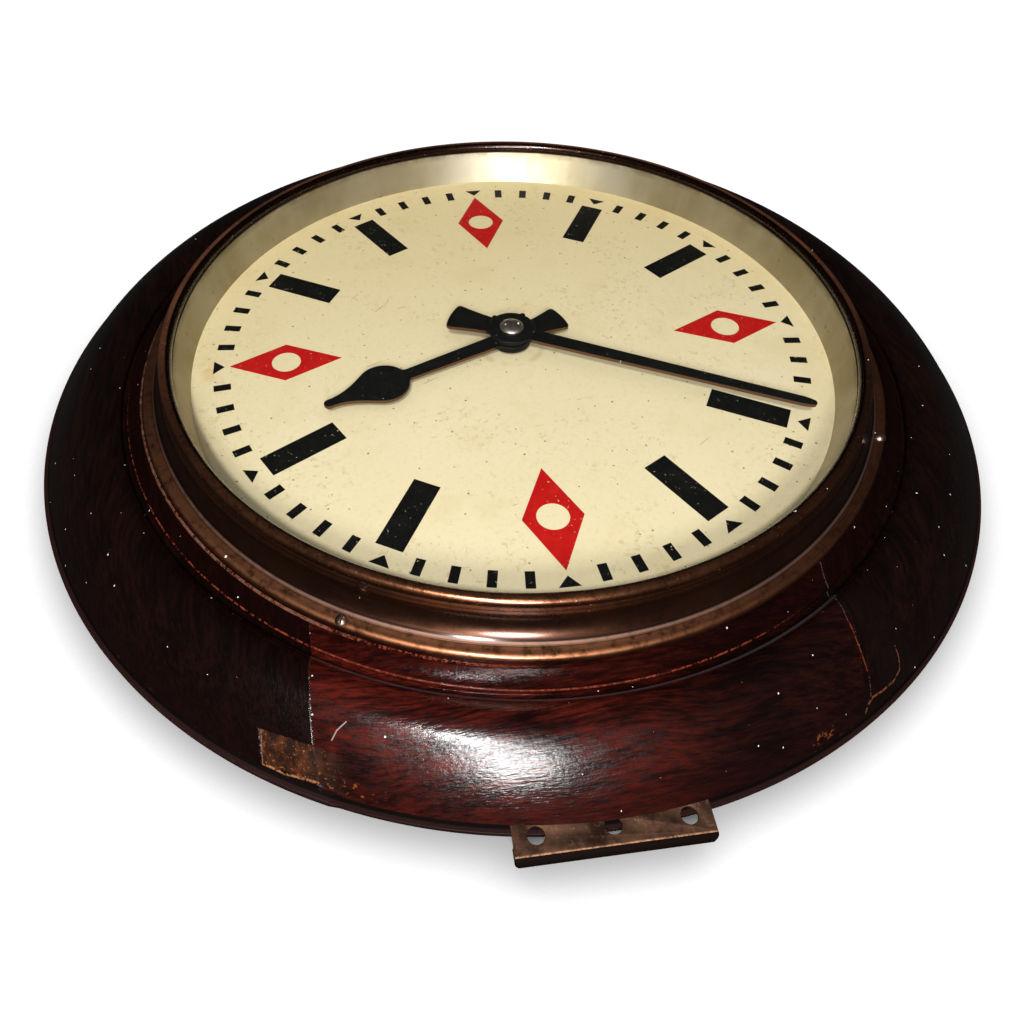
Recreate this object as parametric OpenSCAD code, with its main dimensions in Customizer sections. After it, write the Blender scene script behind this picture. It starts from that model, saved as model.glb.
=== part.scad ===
// Slave clock for a wall: a turned wooden case with a brass bezel, a printed
// dial, two hands, and an impulse movement behind the dial.
// All sizes are in millimetres. X points to 3 o'clock, Z is up, -Y points at
// the viewer, and the wall is the plane y = 0.

/* [Dial] */

// Diameter of the dial that shows inside the sight ring
dial_open_d = 300; // [250:5:360]

// Thickness of the dial plate
dial_t = 1; // [0.8:0.1:1.6]

// Thickness of the printed marks
ink_t = 0.12; // [0.08:0.02:0.3]

// Width of an hour bar
bar_w = 11.9; // [8:0.5:15]

// Width of a diamond across its two side corners
diamond_w = 25.4; // [18:0.5:32]

/* [Bezel] */

// Radial width from the dial opening to the outer edge of the flange
bezel_w = 20.9; // [18:0.5:26]

// Height of the glass top above the dial
glass_top = 16.9; // [15.5:0.1:21]

// Thickness of the glass
glass_t = 1.7; // [1.2:0.1:2.5]

// Radius of the rounded bead round the glass
bead_r = 2.9; // [2.2:0.1:3.6]

// Wall thickness of the spun brass
sheet_t = 1.5; // [1:0.1:1.9]

// Width of the flat flange of the bezel
flange_w = 5.5; // [4.6:0.1:6.6]

// Angle of the first bezel screw, clockwise from 12 o'clock
bezel_screw_angle = 30; // [0:5:85]

/* [Case] */

// Radial width of the sloped neck outside the bezel
neck_w = 9.1; // [7.5:0.1:11]

// Radial width of the rounded body outside the neck
body_w = 39.7; // [33:0.5:48]

// Height of the dial face above the underside of the body
body_depth = 20.5; // [19:0.5:25]

// Thickness of the back board
board_t = 4; // [3.4:0.1:6]

// Height of the shadow gap between the board and the body
gap_h = 1.5; // [1.3:0.1:2.5]

// How far the board stands out past the body
board_lip = 3; // [1:0.5:6]

/* [Rear] */

// Depth of the rear cover, from the wall to the board
cover_h = 9.5; // [8.5:0.1:12]

// Radius of the side wall of the rear cover
cover_r = 101; // [100:1:130]

// Width of the lower bracket
bracket_w = 68; // [58:1:82]

// Distance between the holes of the lower bracket
bracket_pitch = 26; // [22:1:30]

// Diameter of the holes in the lower bracket
bracket_hole_d = 6; // [4:0.5:7]

// Sheet thickness of the lower bracket
bracket_t = 1.2; // [0.8:0.1:1.3]

// Width of the keyhole slot in the hanger
key_slot_w = 5.5; // [4:0.5:7]

// Diameter of the cable hole through the grommet
cable_hole_d = 8; // [5:0.5:10]

/* [Hands] */

// Direction of the minute hand, clockwise from 12 o'clock
minute_angle = 118; // [0:1:359]

// Direction of the hour hand, clockwise from 12 o'clock
hour_angle = 247.5; // [0:0.5:359]

// Distance from the minute hand's tip to the edge of the dial opening
minute_tip_gap = 10; // [7:1:24]

// Distance from the hour hand's tip to the edge of the dial opening
hour_tip_gap = 54; // [40:1:66]

// Thickness of both hands
hand_t = 1.8; // [1.2:0.1:2.2]

/* [Movement] */

// Module of the centre wheel and the rotor pinion
train_module = 0.5; // [0.42:0.01:0.6]

// Module of the wheels between the dial and the front plate
motion_module = 0.4; // [0.38:0.01:0.48]

// Play left between a wheel's teeth and the next wheel's, as a part of the pitch
tooth_play = 0.16; // [0.12:0.01:0.24]

// Thickness of the two movement plates
plate_t = 1.5; // [1.2:0.1:1.8]

// Distance between the two movement plates
plate_gap = 16; // [15.2:0.1:18]

// Length of the feet between the movement and the dial
foot_len = 5; // [4.8:0.1:6]

// Radial clearance of every running fit
run_gap = 0.05; // [0.03:0.01:0.08]

/* [Hidden] */

// Overlap that keeps joined shapes in one solid
eps = 0.02;

// Circle detail
$fn = 96;

// Radii of the front, from the dial opening outwards
open_r = dial_open_d / 2;
rail_r = open_r / 1.1;
dial_r = open_r + 6;
bore_r = open_r - 4;
bezel_r = open_r + bezel_w;
ledge_r = bezel_r + 1.2;
neck_r = bezel_r + neck_w;
body_r = neck_r + body_w;
board_r = body_r + board_lip;

// Distances from the wall plane, towards the viewer
board_z = cover_h;
spigot_z = board_z + board_t;
under_z = spigot_z + gap_h;
dial_z = under_z + body_depth;
ledge_z = dial_z + 0.5;
plate_front_top = dial_z - dial_t - foot_len;
plate_front_z = plate_front_top - plate_t;
plate_back_top = plate_front_z - plate_gap;
plate_back_z = plate_back_top - plate_t;

// Glass and sight ring
glass_r = open_r + 6.4;
glass_gap = 0.4;
glass_z = dial_z + glass_top - glass_t;
sight_t = 0.8;
sight_lean = 3.2;
lip_r = open_r + sight_lean - 0.2;

// Bezel
bead_c = [lip_r + bead_r, glass_top + 0.15];
flange_in = bezel_w - flange_w + open_r;
flange_top = 3.3;
flange_round = 2.5;
bezel_screw_r = bezel_r - 2.65;

// Wooden body, with heights against the dial face
rim_edge = [neck_r - 0.8, dial_z - 3.8];
groove_z = dial_z - 5.8;
groove_w = 1.9;
shoulder_r = neck_r + 1.9;
shoulder_round = 2;
crest = [neck_r + 10.5, dial_z - 0.5];
crest_in = 12.2;
crest_out = 17.5;
crest_slope = 30;
spigot_in = 3.6;
board_hole_r = cover_r - 3;
board_screw_r = body_r - 20;
board_screw_count = 8;

// Rear cover
cover_t = 1;
cover_back = 1.2;
cover_flange_r = cover_r + 9;
cover_screw_r = cover_r + 4.5;
rib_r = 87;
rib_w = 6;
grommet_y = 62;
grommet_flange = 4.5;
grommet_neck = 2;

// Lower bracket
bracket_y = -(board_r + 4.6);
bracket_hole_y = bracket_y + 6;
bracket_top_y = bracket_y + 28;
bracket_screw_x = 17;
bracket_screw_y = bracket_y + 21;
bracket_fold_r = 2.8;
bracket_leg_gap = 0.7;
bracket_corner_r = 2;

// Hanger
hanger_y = board_r - 42;
hanger_w = 44;
hanger_foot = 14;
hanger_h = 34;
hanger_t = 1.5;
hanger_rise = board_z - 0.8;
key_hole_r = key_slot_w;

// Hands, as lengths and as heights above the dial face
minute_len = open_r - minute_tip_gap;
hour_len = open_r - hour_tip_gap;
hour_boss_low = 1.8;
hour_hand_low = 3.4;
hour_boss_r = 9.4;
hour_collar_r = 5.5;
minute_hand_low = 6.6;
minute_hub_r = 10;
minute_collar_r = 4;
minute_disc_r = 11.2;
minute_disc_t = 1.2;
lug_r = 1.3;
lug_angle = 37;
nut_r = 5.6;
nut_h = 1.7;

// Arbors and pipes
arbor_r = 1.5;
cannon_pipe_r = 2.2;
hour_pipe_r = 4;
dial_hole_r = hour_pipe_r + 1;
rotor_arbor_r = 1;
stud_r = 1.5;

// Teeth
centre_teeth = 120;
rotor_teeth = 8;
cannon_teeth = 15;
minute_teeth = 45;
minute_pinion_teeth = 12;
hour_teeth = 48;
rotor_dist = train_module * (centre_teeth + rotor_teeth) / 2;
motion_dist = motion_module * (cannon_teeth + minute_teeth) / 2;

// Heights of the wheels
centre_wheel_z = plate_back_top + 11.6;
centre_wheel_t = 1.2;
cannon_z = plate_front_top + 0.3;
cannon_t = 1.4;
minute_wheel_z = plate_front_top + 0.5;
wheel_t = 1;
hour_wheel_z = cannon_z + cannon_t + 0.7;
minute_pinion_top = hour_wheel_z + wheel_t + 0.3;

// Rotor, poles and coils
rotor_r = 9;
rotor_z = plate_back_top + 5;
rotor_t = 5;
pole_gap = 0.7;
pole_r = 15;
pole_z = plate_back_top + 6;
pole_t = 3;
leg_x = 20;
leg_w = 6;
leg_low = -86;
coil_z = pole_z + pole_t / 2;
coil_top = -50;
coil_low = -76;
coil_flange_r = 7.2;
coil_flange_t = 1.2;
coil_tube_r = 4.3;
coil_wind_r = 6.6;
yoke_h = 6;
stator_post_y = [-41, leg_low + yoke_h / 2];

// Plates, pillars and feet
plate_w = 72;
plate_top_y = 35;
plate_low_y = -89;
plate_corner = 4;
pillar_x = 31.5;
pillar_y = [30, -84];
pillar_r = 3;
foot_x = 31;
foot_y = [8, -62];
foot_r = 2.5;

// Terminals
term_w = 24;
term_h = 12;
term_gap = 1.8;
term_t = plate_back_z - cover_back - cover_t - term_gap;
term_y = -60;
lead_r = 0.6;
lead_x = leg_x - coil_wind_r - lead_r;
lead_y = coil_top - 4;

// Colours
wood = [0.22, 0.06, 0.04];
board_wood = [0.2, 0.12, 0.1];
bronze = [0.42, 0.24, 0.14];
steel = [0.62, 0.62, 0.62];
silver = [0.78, 0.75, 0.68];
cream = [0.88, 0.84, 0.68];
black = [0.05, 0.05, 0.05];
red = [0.75, 0.1, 0.1];
brass = [0.8, 0.65, 0.3];
copper = [0.72, 0.35, 0.18];
plastic = [0.16, 0.12, 0.1];

// The sub-part to build, or all of them

// Points on an arc
function arc(c, r, a0, a1, n) =
    [for (i = [0 : n]) c + r * [cos(a0 + (a1 - a0) * i / n), sin(a0 + (a1 - a0) * i / n)]];

// Direction of a point, in degrees
function heading(p) = atan2(p[1], p[0]);

// Centre of the circle that leaves p along the normal n and passes q
function fit_centre(p, n, q) = p + n * ((q - p) * (q - p)) / (2 * (n * (q - p)));

// Corners of one gear tooth, from the root of one side to the root of the other
function tooth(m, z, play, i) =
    let (
        pitch_r = m * z / 2,
        root_r = pitch_r - 1.25 * m,
        tip_r = pitch_r + 0.85 * m,
        half = 90 / z * (1 - play),
        slope = atan(0.38 * m / pitch_r),
        base = 360 / z * i
    )
    [
        root_r * [cos(base - half - slope), sin(base - half - slope)],
        pitch_r * [cos(base - half), sin(base - half)],
        tip_r * [cos(base - half + slope), sin(base - half + slope)],
        tip_r * [cos(base + half - slope), sin(base + half - slope)],
        pitch_r * [cos(base + half), sin(base + half)],
        root_r * [cos(base + half + slope), sin(base + half + slope)]
    ];

// Turns the flat drawing plane to face the viewer on the wall
module upright() {
    rotate([90, 0, 0])
        children();
}

// A disc or ring between two distances from the wall
module ring(z0, z1, r_out, r_in = 0) {
    translate([0, 0, z0])
        difference() {
            cylinder(h = z1 - z0, r = r_out);
            if (r_in > 0)
                translate([0, 0, -1])
                    cylinder(h = z1 - z0 + 2, r = r_in);
        }
}

// A round hole or boss at one place
module at(x, y, z) {
    translate([x, y, z])
        children();
}

// Children at the given clockwise angle from 12 o'clock
module at_angle(a) {
    rotate([0, 0, -a])
        children();
}

// A gear blank with teeth
module gear(m, z, t, bore) {
    difference() {
        linear_extrude(height = t)
            polygon([for (i = [0 : z - 1]) each tooth(m, z, tooth_play, i)]);
        translate([0, 0, -1])
            cylinder(h = t + 2, r = bore);
    }
}

// A screw with a domed head on the plane z = 0 and its shank below
module round_screw(head_r, head_h, shank_r, shank_len, slot_w) {
    dome_r = (head_r * head_r + head_h * head_h) / (2 * head_h);
    difference() {
        union() {
            intersection() {
                translate([0, 0, head_h - dome_r])
                    sphere(r = dome_r);
                cylinder(h = head_h + 1, r = head_r);
            }
            translate([0, 0, -shank_len])
                cylinder(h = shank_len + eps, r = shank_r);
        }
        translate([-head_r - 1, -slot_w / 2, head_h * 0.45])
            cube([2 * head_r + 2, slot_w, head_h]);
    }
}

// A countersunk screw whose head ends flush with the plane z = 0
module flat_screw(head_r, shank_r, shank_len, slot_w) {
    difference() {
        union() {
            translate([0, 0, shank_r - head_r])
                cylinder(h = head_r - shank_r, r1 = shank_r, r2 = head_r);
            translate([0, 0, -shank_len])
                cylinder(h = shank_len - head_r + shank_r + eps, r = shank_r);
        }
        translate([-head_r - 1, -slot_w / 2, -0.6])
            cube([2 * head_r + 2, slot_w, 2]);
    }
}

// The hole that a countersunk screw needs
module flat_screw_hole(head_r, shank_r, shank_len) {
    translate([0, 0, shank_r - head_r])
        cylinder(h = head_r - shank_r, r1 = shank_r, r2 = head_r);
    translate([0, 0, -shank_len])
        cylinder(h = shank_len, r = shank_r);
    translate([0, 0, -eps])
        cylinder(h = 1, r = head_r);
}

// Turned wooden body

module body_profile() {
    in_c = crest - [0, crest_in];
    out_c = crest - [0, crest_out];
    in_a = 90 + asin((crest[0] - shoulder_r - shoulder_round) / (crest_in - shoulder_round));
    round_c = in_c + (crest_in - shoulder_round) * [cos(in_a), sin(in_a)];
    slope_in = arc(in_c, crest_in, in_a, 90, 10);
    slope_out = arc(out_c, crest_out, 90, 90 - crest_slope, 10);
    leave = slope_out[len(slope_out) - 1];
    corner = [body_r, under_z];
    side_c = fit_centre(leave, -[sin(crest_slope), cos(crest_slope)], corner);
    side_r = norm(leave - side_c);
    edge = [ledge_r, ledge_z - 0.4];
    neck_c = [ledge_r + 12, dial_z + 13];
    neck_a0 = heading(edge - neck_c);
    neck_a1 = heading(rim_edge - neck_c);
    neck_r0 = norm(edge - neck_c);
    neck_r1 = norm(rim_edge - neck_c);
    polygon(concat(
        [
            [bore_r, spigot_z],
            [bore_r, dial_z - dial_t],
            [dial_r + 0.3, dial_z - dial_t],
            [dial_r + 0.3, ledge_z],
            [ledge_r - 0.4, ledge_z],
            edge
        ],
        [for (i = [1 : 5])
            let (a = neck_a0 + (neck_a1 - neck_a0) * i / 6, r = neck_r0 + (neck_r1 - neck_r0) * i / 6)
            neck_c + r * [cos(a), sin(a)]],
        [
            rim_edge,
            [round_c[0] - shoulder_round - groove_w, groove_z],
            [round_c[0] - shoulder_round, groove_z]
        ],
        arc(round_c, shoulder_round, 180, in_a + 4, 6),
        slope_in,
        [for (i = [1 : len(slope_out) - 1]) slope_out[i]],
        [for (i = [1 : 16])
            let (a = 90 - crest_slope + (heading(corner - side_c) - 90 + crest_slope) * i / 16)
            side_c + side_r * [cos(a), sin(a)]],
        [
            [body_r - spigot_in, under_z],
            [body_r - spigot_in, spigot_z]
        ]
    ));
}

module wood_surround() {
    color(wood)
    upright()
        difference() {
            rotate_extrude($fn = 180)
                body_profile();
            translate([-bracket_w / 2 - 0.6, -body_r - 1, spigot_z - 1])
                cube([bracket_w + 1.2, body_r + 1 + bracket_top_y + 1, gap_h + 1]);
            for (i = [0 : board_screw_count - 1])
                at_angle(22.5 + i * 360 / board_screw_count)
                    at(0, board_screw_r, spigot_z - 1)
                        cylinder(h = 13.5, r = 1.75, $fn = 32);
            for (i = [0 : 3])
                at_angle(bezel_screw_angle + 90 * i)
                    at(0, bezel_screw_r, ledge_z - 11)
                        cylinder(h = 12, r = 1.3, $fn = 32);
        }
}

module back_board() {
    color(board_wood)
    upright()
        difference() {
            ring(board_z, spigot_z, board_r, board_hole_r, $fn = 180);
            for (i = [0 : board_screw_count - 1])
                at_angle(22.5 + i * 360 / board_screw_count)
                    at(0, board_screw_r, board_z)
                        mirror([0, 0, 1])
                            flat_screw_hole(3.6, 1.75, board_t + 1, $fn = 32);
            for (i = [0 : 3])
                at_angle(45 + 90 * i)
                    at(0, cover_screw_r, board_z - 1)
                        cylinder(h = 4, r = 1.3, $fn = 32);
            for (x = [-1, 1])
                at(x * bracket_screw_x, bracket_screw_y, spigot_z - 3)
                    cylinder(h = 4, r = 1.4, $fn = 32);
            for (x = [-1, 1])
                at(x * (hanger_w + hanger_foot) / 2, hanger_y, board_z - 1)
                    cylinder(h = 4, r = 1.5, $fn = 32);
        }
}

module board_screws() {
    color(steel)
    upright()
        for (i = [0 : board_screw_count - 1])
            at_angle(22.5 + i * 360 / board_screw_count)
                at(0, board_screw_r, board_z)
                    mirror([0, 0, 1])
                        flat_screw(3.6, 1.75, board_t + 12, 0.9, $fn = 32);
}

// Lower bracket

// A flat plate whose lower edge is folded round behind it. The folded leg stops below the board.
module lower_bracket() {
    fold_z = spigot_z + bracket_t - bracket_fold_r;
    low_y = bracket_y - bracket_fold_r;
    leg_top_y = -board_r - bracket_leg_gap;
    color(bronze)
    upright()
        difference() {
            union() {
                translate([-bracket_w / 2, bracket_y, spigot_z])
                    cube([bracket_w, bracket_top_y - bracket_y, bracket_t]);
                translate([-bracket_w / 2, bracket_y, fold_z - bracket_fold_r])
                    cube([bracket_w, leg_top_y - bracket_y, bracket_t]);
                intersection() {
                    translate([-bracket_w / 2, bracket_y, fold_z])
                        rotate([0, 90, 0])
                            difference() {
                                cylinder(h = bracket_w, r = bracket_fold_r, $fn = 48);
                                translate([0, 0, -1])
                                    cylinder(h = bracket_w + 2, r = bracket_fold_r - bracket_t, $fn = 48);
                            }
                    translate([-bracket_w / 2 - 1, low_y - 1, fold_z - bracket_fold_r - 1])
                        cube([bracket_w + 2, bracket_fold_r + 1, 2 * bracket_fold_r + 2]);
                }
            }
            for (i = [-1 : 1])
                at(i * bracket_pitch, bracket_hole_y, spigot_z - 1)
                    cylinder(h = bracket_t + 2, d = bracket_hole_d, $fn = 48);
            for (x = [-1, 1])
                at(x * bracket_screw_x, bracket_screw_y, spigot_z + bracket_t)
                    flat_screw_hole(2.4, 1.4, bracket_t + 1, $fn = 32);
            for (x = [-1, 1])
                translate([x * bracket_w / 2, low_y, fold_z - bracket_fold_r - 1])
                    bracket_corner(x);
        }
}

// The cut that rounds one lower corner of the bracket, seen from the front
module bracket_corner(side) {
    depth = 2 * bracket_fold_r + 2;
    translate([-side * bracket_corner_r, bracket_corner_r, 0])
        difference() {
            translate([side > 0 ? 0 : -bracket_corner_r - 1, -bracket_corner_r - 1, 0])
                cube([bracket_corner_r + 1, bracket_corner_r + 1, depth]);
            translate([0, 0, -1])
                cylinder(h = depth + 2, r = bracket_corner_r, $fn = 48);
        }
}

module bracket_screws() {
    color(steel)
    upright()
        for (x = [-1, 1])
            at(x * bracket_screw_x, bracket_screw_y, spigot_z + bracket_t)
                flat_screw(2.4, 1.4, bracket_t + 3, 0.7, $fn = 32);
}

// Hanger

module hanger_plate() {
    half = hanger_w / 2;
    color(steel)
    upright()
        difference() {
            translate([0, hanger_y + hanger_h / 2, board_z])
                rotate([90, 0, 0])
                    linear_extrude(height = hanger_h)
                        polygon([
                            [-half - hanger_foot, -hanger_t],
                            [-half - hanger_foot, 0],
                            [-half + hanger_t, 0],
                            [-half + hanger_t, -hanger_rise + hanger_t],
                            [half - hanger_t, -hanger_rise + hanger_t],
                            [half - hanger_t, 0],
                            [half + hanger_foot, 0],
                            [half + hanger_foot, -hanger_t],
                            [half, -hanger_t],
                            [half, -hanger_rise],
                            [-half, -hanger_rise],
                            [-half, -hanger_t]
                        ]);
            at(0, hanger_y - 6, board_z - hanger_rise - 1)
                cylinder(h = hanger_t + 2, r = key_hole_r, $fn = 48);
            translate([-key_slot_w / 2, hanger_y - 6, board_z - hanger_rise - 1])
                cube([key_slot_w, 14, hanger_t + 2]);
            at(0, hanger_y + 8, board_z - hanger_rise - 1)
                cylinder(h = hanger_t + 2, d = key_slot_w, $fn = 48);
            for (x = [-1, 1])
                at(x * (half + hanger_foot / 2), hanger_y, board_z - hanger_t - 1)
                    cylinder(h = hanger_t + 2, r = 1.9, $fn = 32);
        }
}

module hanger_screws() {
    color(steel)
    upright()
        for (x = [-1, 1])
            at(x * (hanger_w + hanger_foot) / 2, hanger_y, board_z - hanger_t)
                mirror([0, 0, 1])
                    round_screw(3.4, 2, 1.5, hanger_t + 3, 0.9, $fn = 32);
}

// Rear cover

module rear_cover() {
    color(bronze)
    upright()
        difference() {
            union() {
                ring(cover_back, cover_back + cover_t, cover_r, $fn = 120);
                ring(cover_back, board_z, cover_r, cover_r - cover_t, $fn = 120);
                ring(board_z - cover_t, board_z, cover_flange_r, cover_r - cover_t, $fn = 120);
                ring(0, cover_back + eps, rib_r + rib_w / 2, rib_r - rib_w / 2, $fn = 120);
            }
            for (i = [0 : 3])
                at_angle(45 + 90 * i)
                    at(0, cover_screw_r, board_z - cover_t - 1)
                        cylinder(h = cover_t + 2, r = 1.7, $fn = 32);
            at(0, grommet_y, cover_back - 1)
                cylinder(h = cover_t + 2, r = cable_hole_d / 2 + grommet_neck, $fn = 64);
        }
}

module cover_screws() {
    color(steel)
    upright()
        for (i = [0 : 3])
            at_angle(45 + 90 * i)
                at(0, cover_screw_r, board_z - cover_t)
                    mirror([0, 0, 1])
                        round_screw(2.9, 1.8, 1.3, cover_t + 3, 0.8, $fn = 32);
}

module cable_grommet() {
    neck_r = cable_hole_d / 2 + grommet_neck;
    flange_r = neck_r + grommet_flange - 2;
    lip = 1.2;
    color(black)
    upright()
        translate([0, grommet_y, 0])
            difference() {
                union() {
                    ring(cover_back - 1, cover_back, flange_r, $fn = 64);
                    ring(cover_back - 1, cover_back + cover_t + lip, neck_r, $fn = 64);
                    ring(cover_back + cover_t, cover_back + cover_t + lip, flange_r, $fn = 64);
                }
                translate([0, 0, -1])
                    cylinder(h = 8, d = cable_hole_d, $fn = 64);
            }
}

// Bezel, glass and sight ring

module bezel_profile() {
    cove_top = [bead_c[0] + bead_r - 0.1, glass_top - 2.3];
    cove_low = [flange_in + 0.2, flange_top + 0.7];
    dx = cove_low[0] - cove_top[0];
    dy = cove_top[1] - cove_low[1];
    cove_r = (dx * dx + dy * dy) / (2 * dx);
    cove_c = [cove_top[0] + cove_r, cove_top[1]];
    a_low = 360 + heading(cove_low - cove_c);
    round_c = [bezel_r - flange_round, flange_top - flange_round];
    wall_r = glass_r + glass_gap;
    polygon(concat(
        [
            [lip_r, glass_top],
            [lip_r, bead_c[1]]
        ],
        arc(bead_c, bead_r, 180, 128, 6),
        [
            bead_c + (bead_r - 0.35) * [cos(124), sin(124)]
        ],
        arc(bead_c, bead_r, 120, 0, 14),
        arc(cove_c, cove_r, 180, a_low, 14),
        [
            [flange_in, flange_top + 0.3],
            [flange_in + 0.5, flange_top]
        ],
        arc(round_c, flange_round, 90, 0, 8),
        [
            [bezel_r, 0.5],
            [flange_in - 1, 0.5],
            [flange_in - 1, flange_top - 1]
        ],
        arc(cove_c, cove_r + sheet_t, a_low - 2, 186, 12),
        [
            [wall_r, cove_c[1] - 1.4],
            [wall_r, glass_top]
        ]
    ));
}

module bezel() {
    color(bronze)
    upright()
        translate([0, 0, dial_z])
            difference() {
                rotate_extrude($fn = 180)
                    bezel_profile();
                for (i = [0 : 3])
                    at_angle(bezel_screw_angle + 90 * i)
                        at(0, bezel_screw_r, -1)
                            cylinder(h = 6, r = 1.5, $fn = 32);
            }
}

module bezel_screws() {
    color(steel)
    upright()
        for (i = [0 : 3])
            at_angle(bezel_screw_angle + 90 * i)
                at(0, bezel_screw_r, dial_z + flange_top)
                    rotate([0, 0, 25 + 40 * i])
                        round_screw(2.55, 1.6, 1.3, flange_top + 8, 0.7, $fn = 40);
}

module glass() {
    color([0.8, 0.9, 0.95, 0.3])
    upright()
        ring(glass_z, glass_z + glass_t, glass_r, $fn = 180);
}

module sight_ring() {
    top = glass_top - glass_t;
    color(silver)
    upright()
        translate([0, 0, dial_z])
            rotate_extrude($fn = 180)
                polygon([
                    [open_r, 0],
                    [open_r + sight_lean, top],
                    [open_r + sight_lean + sight_t, top],
                    [open_r + sight_t + 0.3, sight_t + 0.2],
                    [dial_r - 0.6, sight_t],
                    [dial_r - 0.6, 0]
                ]);
}

// Dial and its marks

module dial_plate() {
    color(cream)
    upright()
        ring(dial_z - dial_t, dial_z, dial_r, dial_hole_r, $fn = 180);
}

module minute_marks() {
    unit = rail_r / 100;
    color(black)
    upright()
        translate([0, 0, dial_z])
            linear_extrude(height = ink_t) {
                for (i = [0 : 59])
                    if (i % 5 != 0)
                        at_angle(i * 6)
                            translate([-1.43 * unit, 96.9 * unit])
                                square([2.86 * unit, 5.7 * unit]);
                for (i = [0 : 11])
                    at_angle(i * 30)
                        polygon([
                            [0, 99.1 * unit],
                            [-3.2 * unit, 102.8 * unit],
                            [3.2 * unit, 102.8 * unit]
                        ]);
            }
}

module hour_bars() {
    unit = rail_r / 100;
    color(black)
    upright()
        translate([0, 0, dial_z])
            linear_extrude(height = ink_t)
                for (i = [0 : 11])
                    if (i % 3 != 0)
                        at_angle(i * 30)
                            translate([-bar_w / 2, 70.3 * unit])
                                square([bar_w, 26 * unit]);
}

module hour_diamonds() {
    unit = rail_r / 100;
    color(red)
    upright()
        translate([0, 0, dial_z])
            linear_extrude(height = ink_t)
                for (i = [0 : 3])
                    at_angle(i * 90)
                        difference() {
                            polygon([
                                [0, 59.2 * unit],
                                [diamond_w / 2, 78.4 * unit],
                                [0, 97.4 * unit],
                                [-diamond_w / 2, 78.4 * unit]
                            ]);
                            translate([0, 78.2 * unit])
                                circle(r = 4.95 * unit, $fn = 64);
                        }
}

// Hands

// Each child as a slab of its own, joined into one solid
module slabs(t) {
    for (i = [0 : $children - 1])
        linear_extrude(height = t)
            children(i);
}

// The fan-shaped tail that balances a hand
module hand_tail(len, w_hub, w_end) {
    swell = asin(w_end / 2 / len);
    round_r = 1.6;
    end = arc([0, 0], len, 270 - swell + 3, 270 + swell - 3, 8);
    polygon(concat(
        [[-w_hub / 2, 0]],
        [[-w_hub / 2, -len * 0.3]],
        [[-w_end / 2 * 0.97, -len * cos(swell) + round_r]],
        end,
        [[w_end / 2 * 0.97, -len * cos(swell) + round_r]],
        [[w_hub / 2, -len * 0.3]],
        [[w_hub / 2, 0]]
    ));
}

module hour_hand() {
    spade_y = hour_len * 0.7;
    spade_r = 11.8;
    tip_w = 4.6;
    neck_y = spade_y + 6.6;
    neck_len = hour_len - tip_w / 2 - neck_y;
    neck = [for (i = [1 : 8])
        let (
            t = i / 9,
            half = (spade_r - 2.2) * pow(1 - t, 1.7) + tip_w / 2 * t + 0.4 * (1 - t)
        )
        [half, neck_y + t * neck_len]];
    color(black)
    upright()
        translate([0, 0, dial_z + hour_hand_low])
            at_angle(hour_angle)
                difference() {
                    slabs(hand_t) {
                        circle(r = hour_boss_r, $fn = 72);
                        polygon([[-4.3, 0], [-3.2, spade_y - 9], [3.2, spade_y - 9], [4.3, 0]]);
                        translate([0, spade_y])
                            circle(r = spade_r, $fn = 72);
                        polygon(concat(
                            [[0, spade_y]],
                            neck,
                            arc([0, hour_len - tip_w / 2], tip_w / 2, 0, 180, 10),
                            [for (i = [len(neck) - 1 : -1 : 0]) [-neck[i][0], neck[i][1]]]
                        ));
                        hand_tail(29, 9, 16);
                    }
                    translate([0, 0, -1])
                        cylinder(h = hand_t + 2, r = hour_collar_r, $fn = 64);
                }
}

module hour_boss() {
    color(black)
    upright()
        translate([0, 0, dial_z])
            difference() {
                union() {
                    ring(hour_boss_low, hour_hand_low, hour_boss_r, $fn = 72);
                    ring(hour_boss_low, hour_hand_low + hand_t + 0.3, hour_collar_r, $fn = 72);
                }
                translate([0, 0, hour_boss_low - 1])
                    cylinder(h = 8, r = hour_pipe_r, $fn = 64);
            }
}

module minute_hand() {
    w_hub = 8.2;
    w_tip = 5;
    color(black)
    upright()
        translate([0, 0, dial_z + minute_hand_low])
            at_angle(minute_angle)
                difference() {
                    slabs(hand_t) {
                        circle(r = minute_hub_r, $fn = 72);
                        polygon(concat(
                            [[-w_hub / 2, 0], [-w_tip / 2, minute_len - 6]],
                            [[-w_tip / 2 + 0.5, minute_len - 3.2]],
                            arc([0, minute_len - 1.7], 1.7, 160, 20, 8),
                            [[w_tip / 2 - 0.5, minute_len - 3.2]],
                            [[w_tip / 2, minute_len - 6], [w_hub / 2, 0]]
                        ));
                        hand_tail(31, 10, 17);
                    }
                    translate([0, 0, -1])
                        cylinder(h = hand_t + 2, r = minute_collar_r, $fn = 64);
                }
}

module minute_boss() {
    top = minute_hand_low + hand_t;
    color(black)
    upright()
        translate([0, 0, dial_z])
            difference() {
                union() {
                    ring(top, top + minute_disc_t, minute_disc_r, $fn = 72);
                    ring(minute_hand_low - 0.4, top + eps, minute_collar_r, $fn = 64);
                    for (s = [-1, 1])
                        at_angle(s * lug_angle)
                            at(0, minute_disc_r, top)
                                cylinder(h = minute_disc_t, r = lug_r, $fn = 32);
                }
                translate([0, 0, minute_hand_low - 1])
                    cylinder(h = hand_t + 1, r = cannon_pipe_r, $fn = 64);
                translate([0, 0, minute_hand_low - 1])
                    cylinder(h = 8, r = arbor_r, $fn = 64);
            }
}

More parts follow.
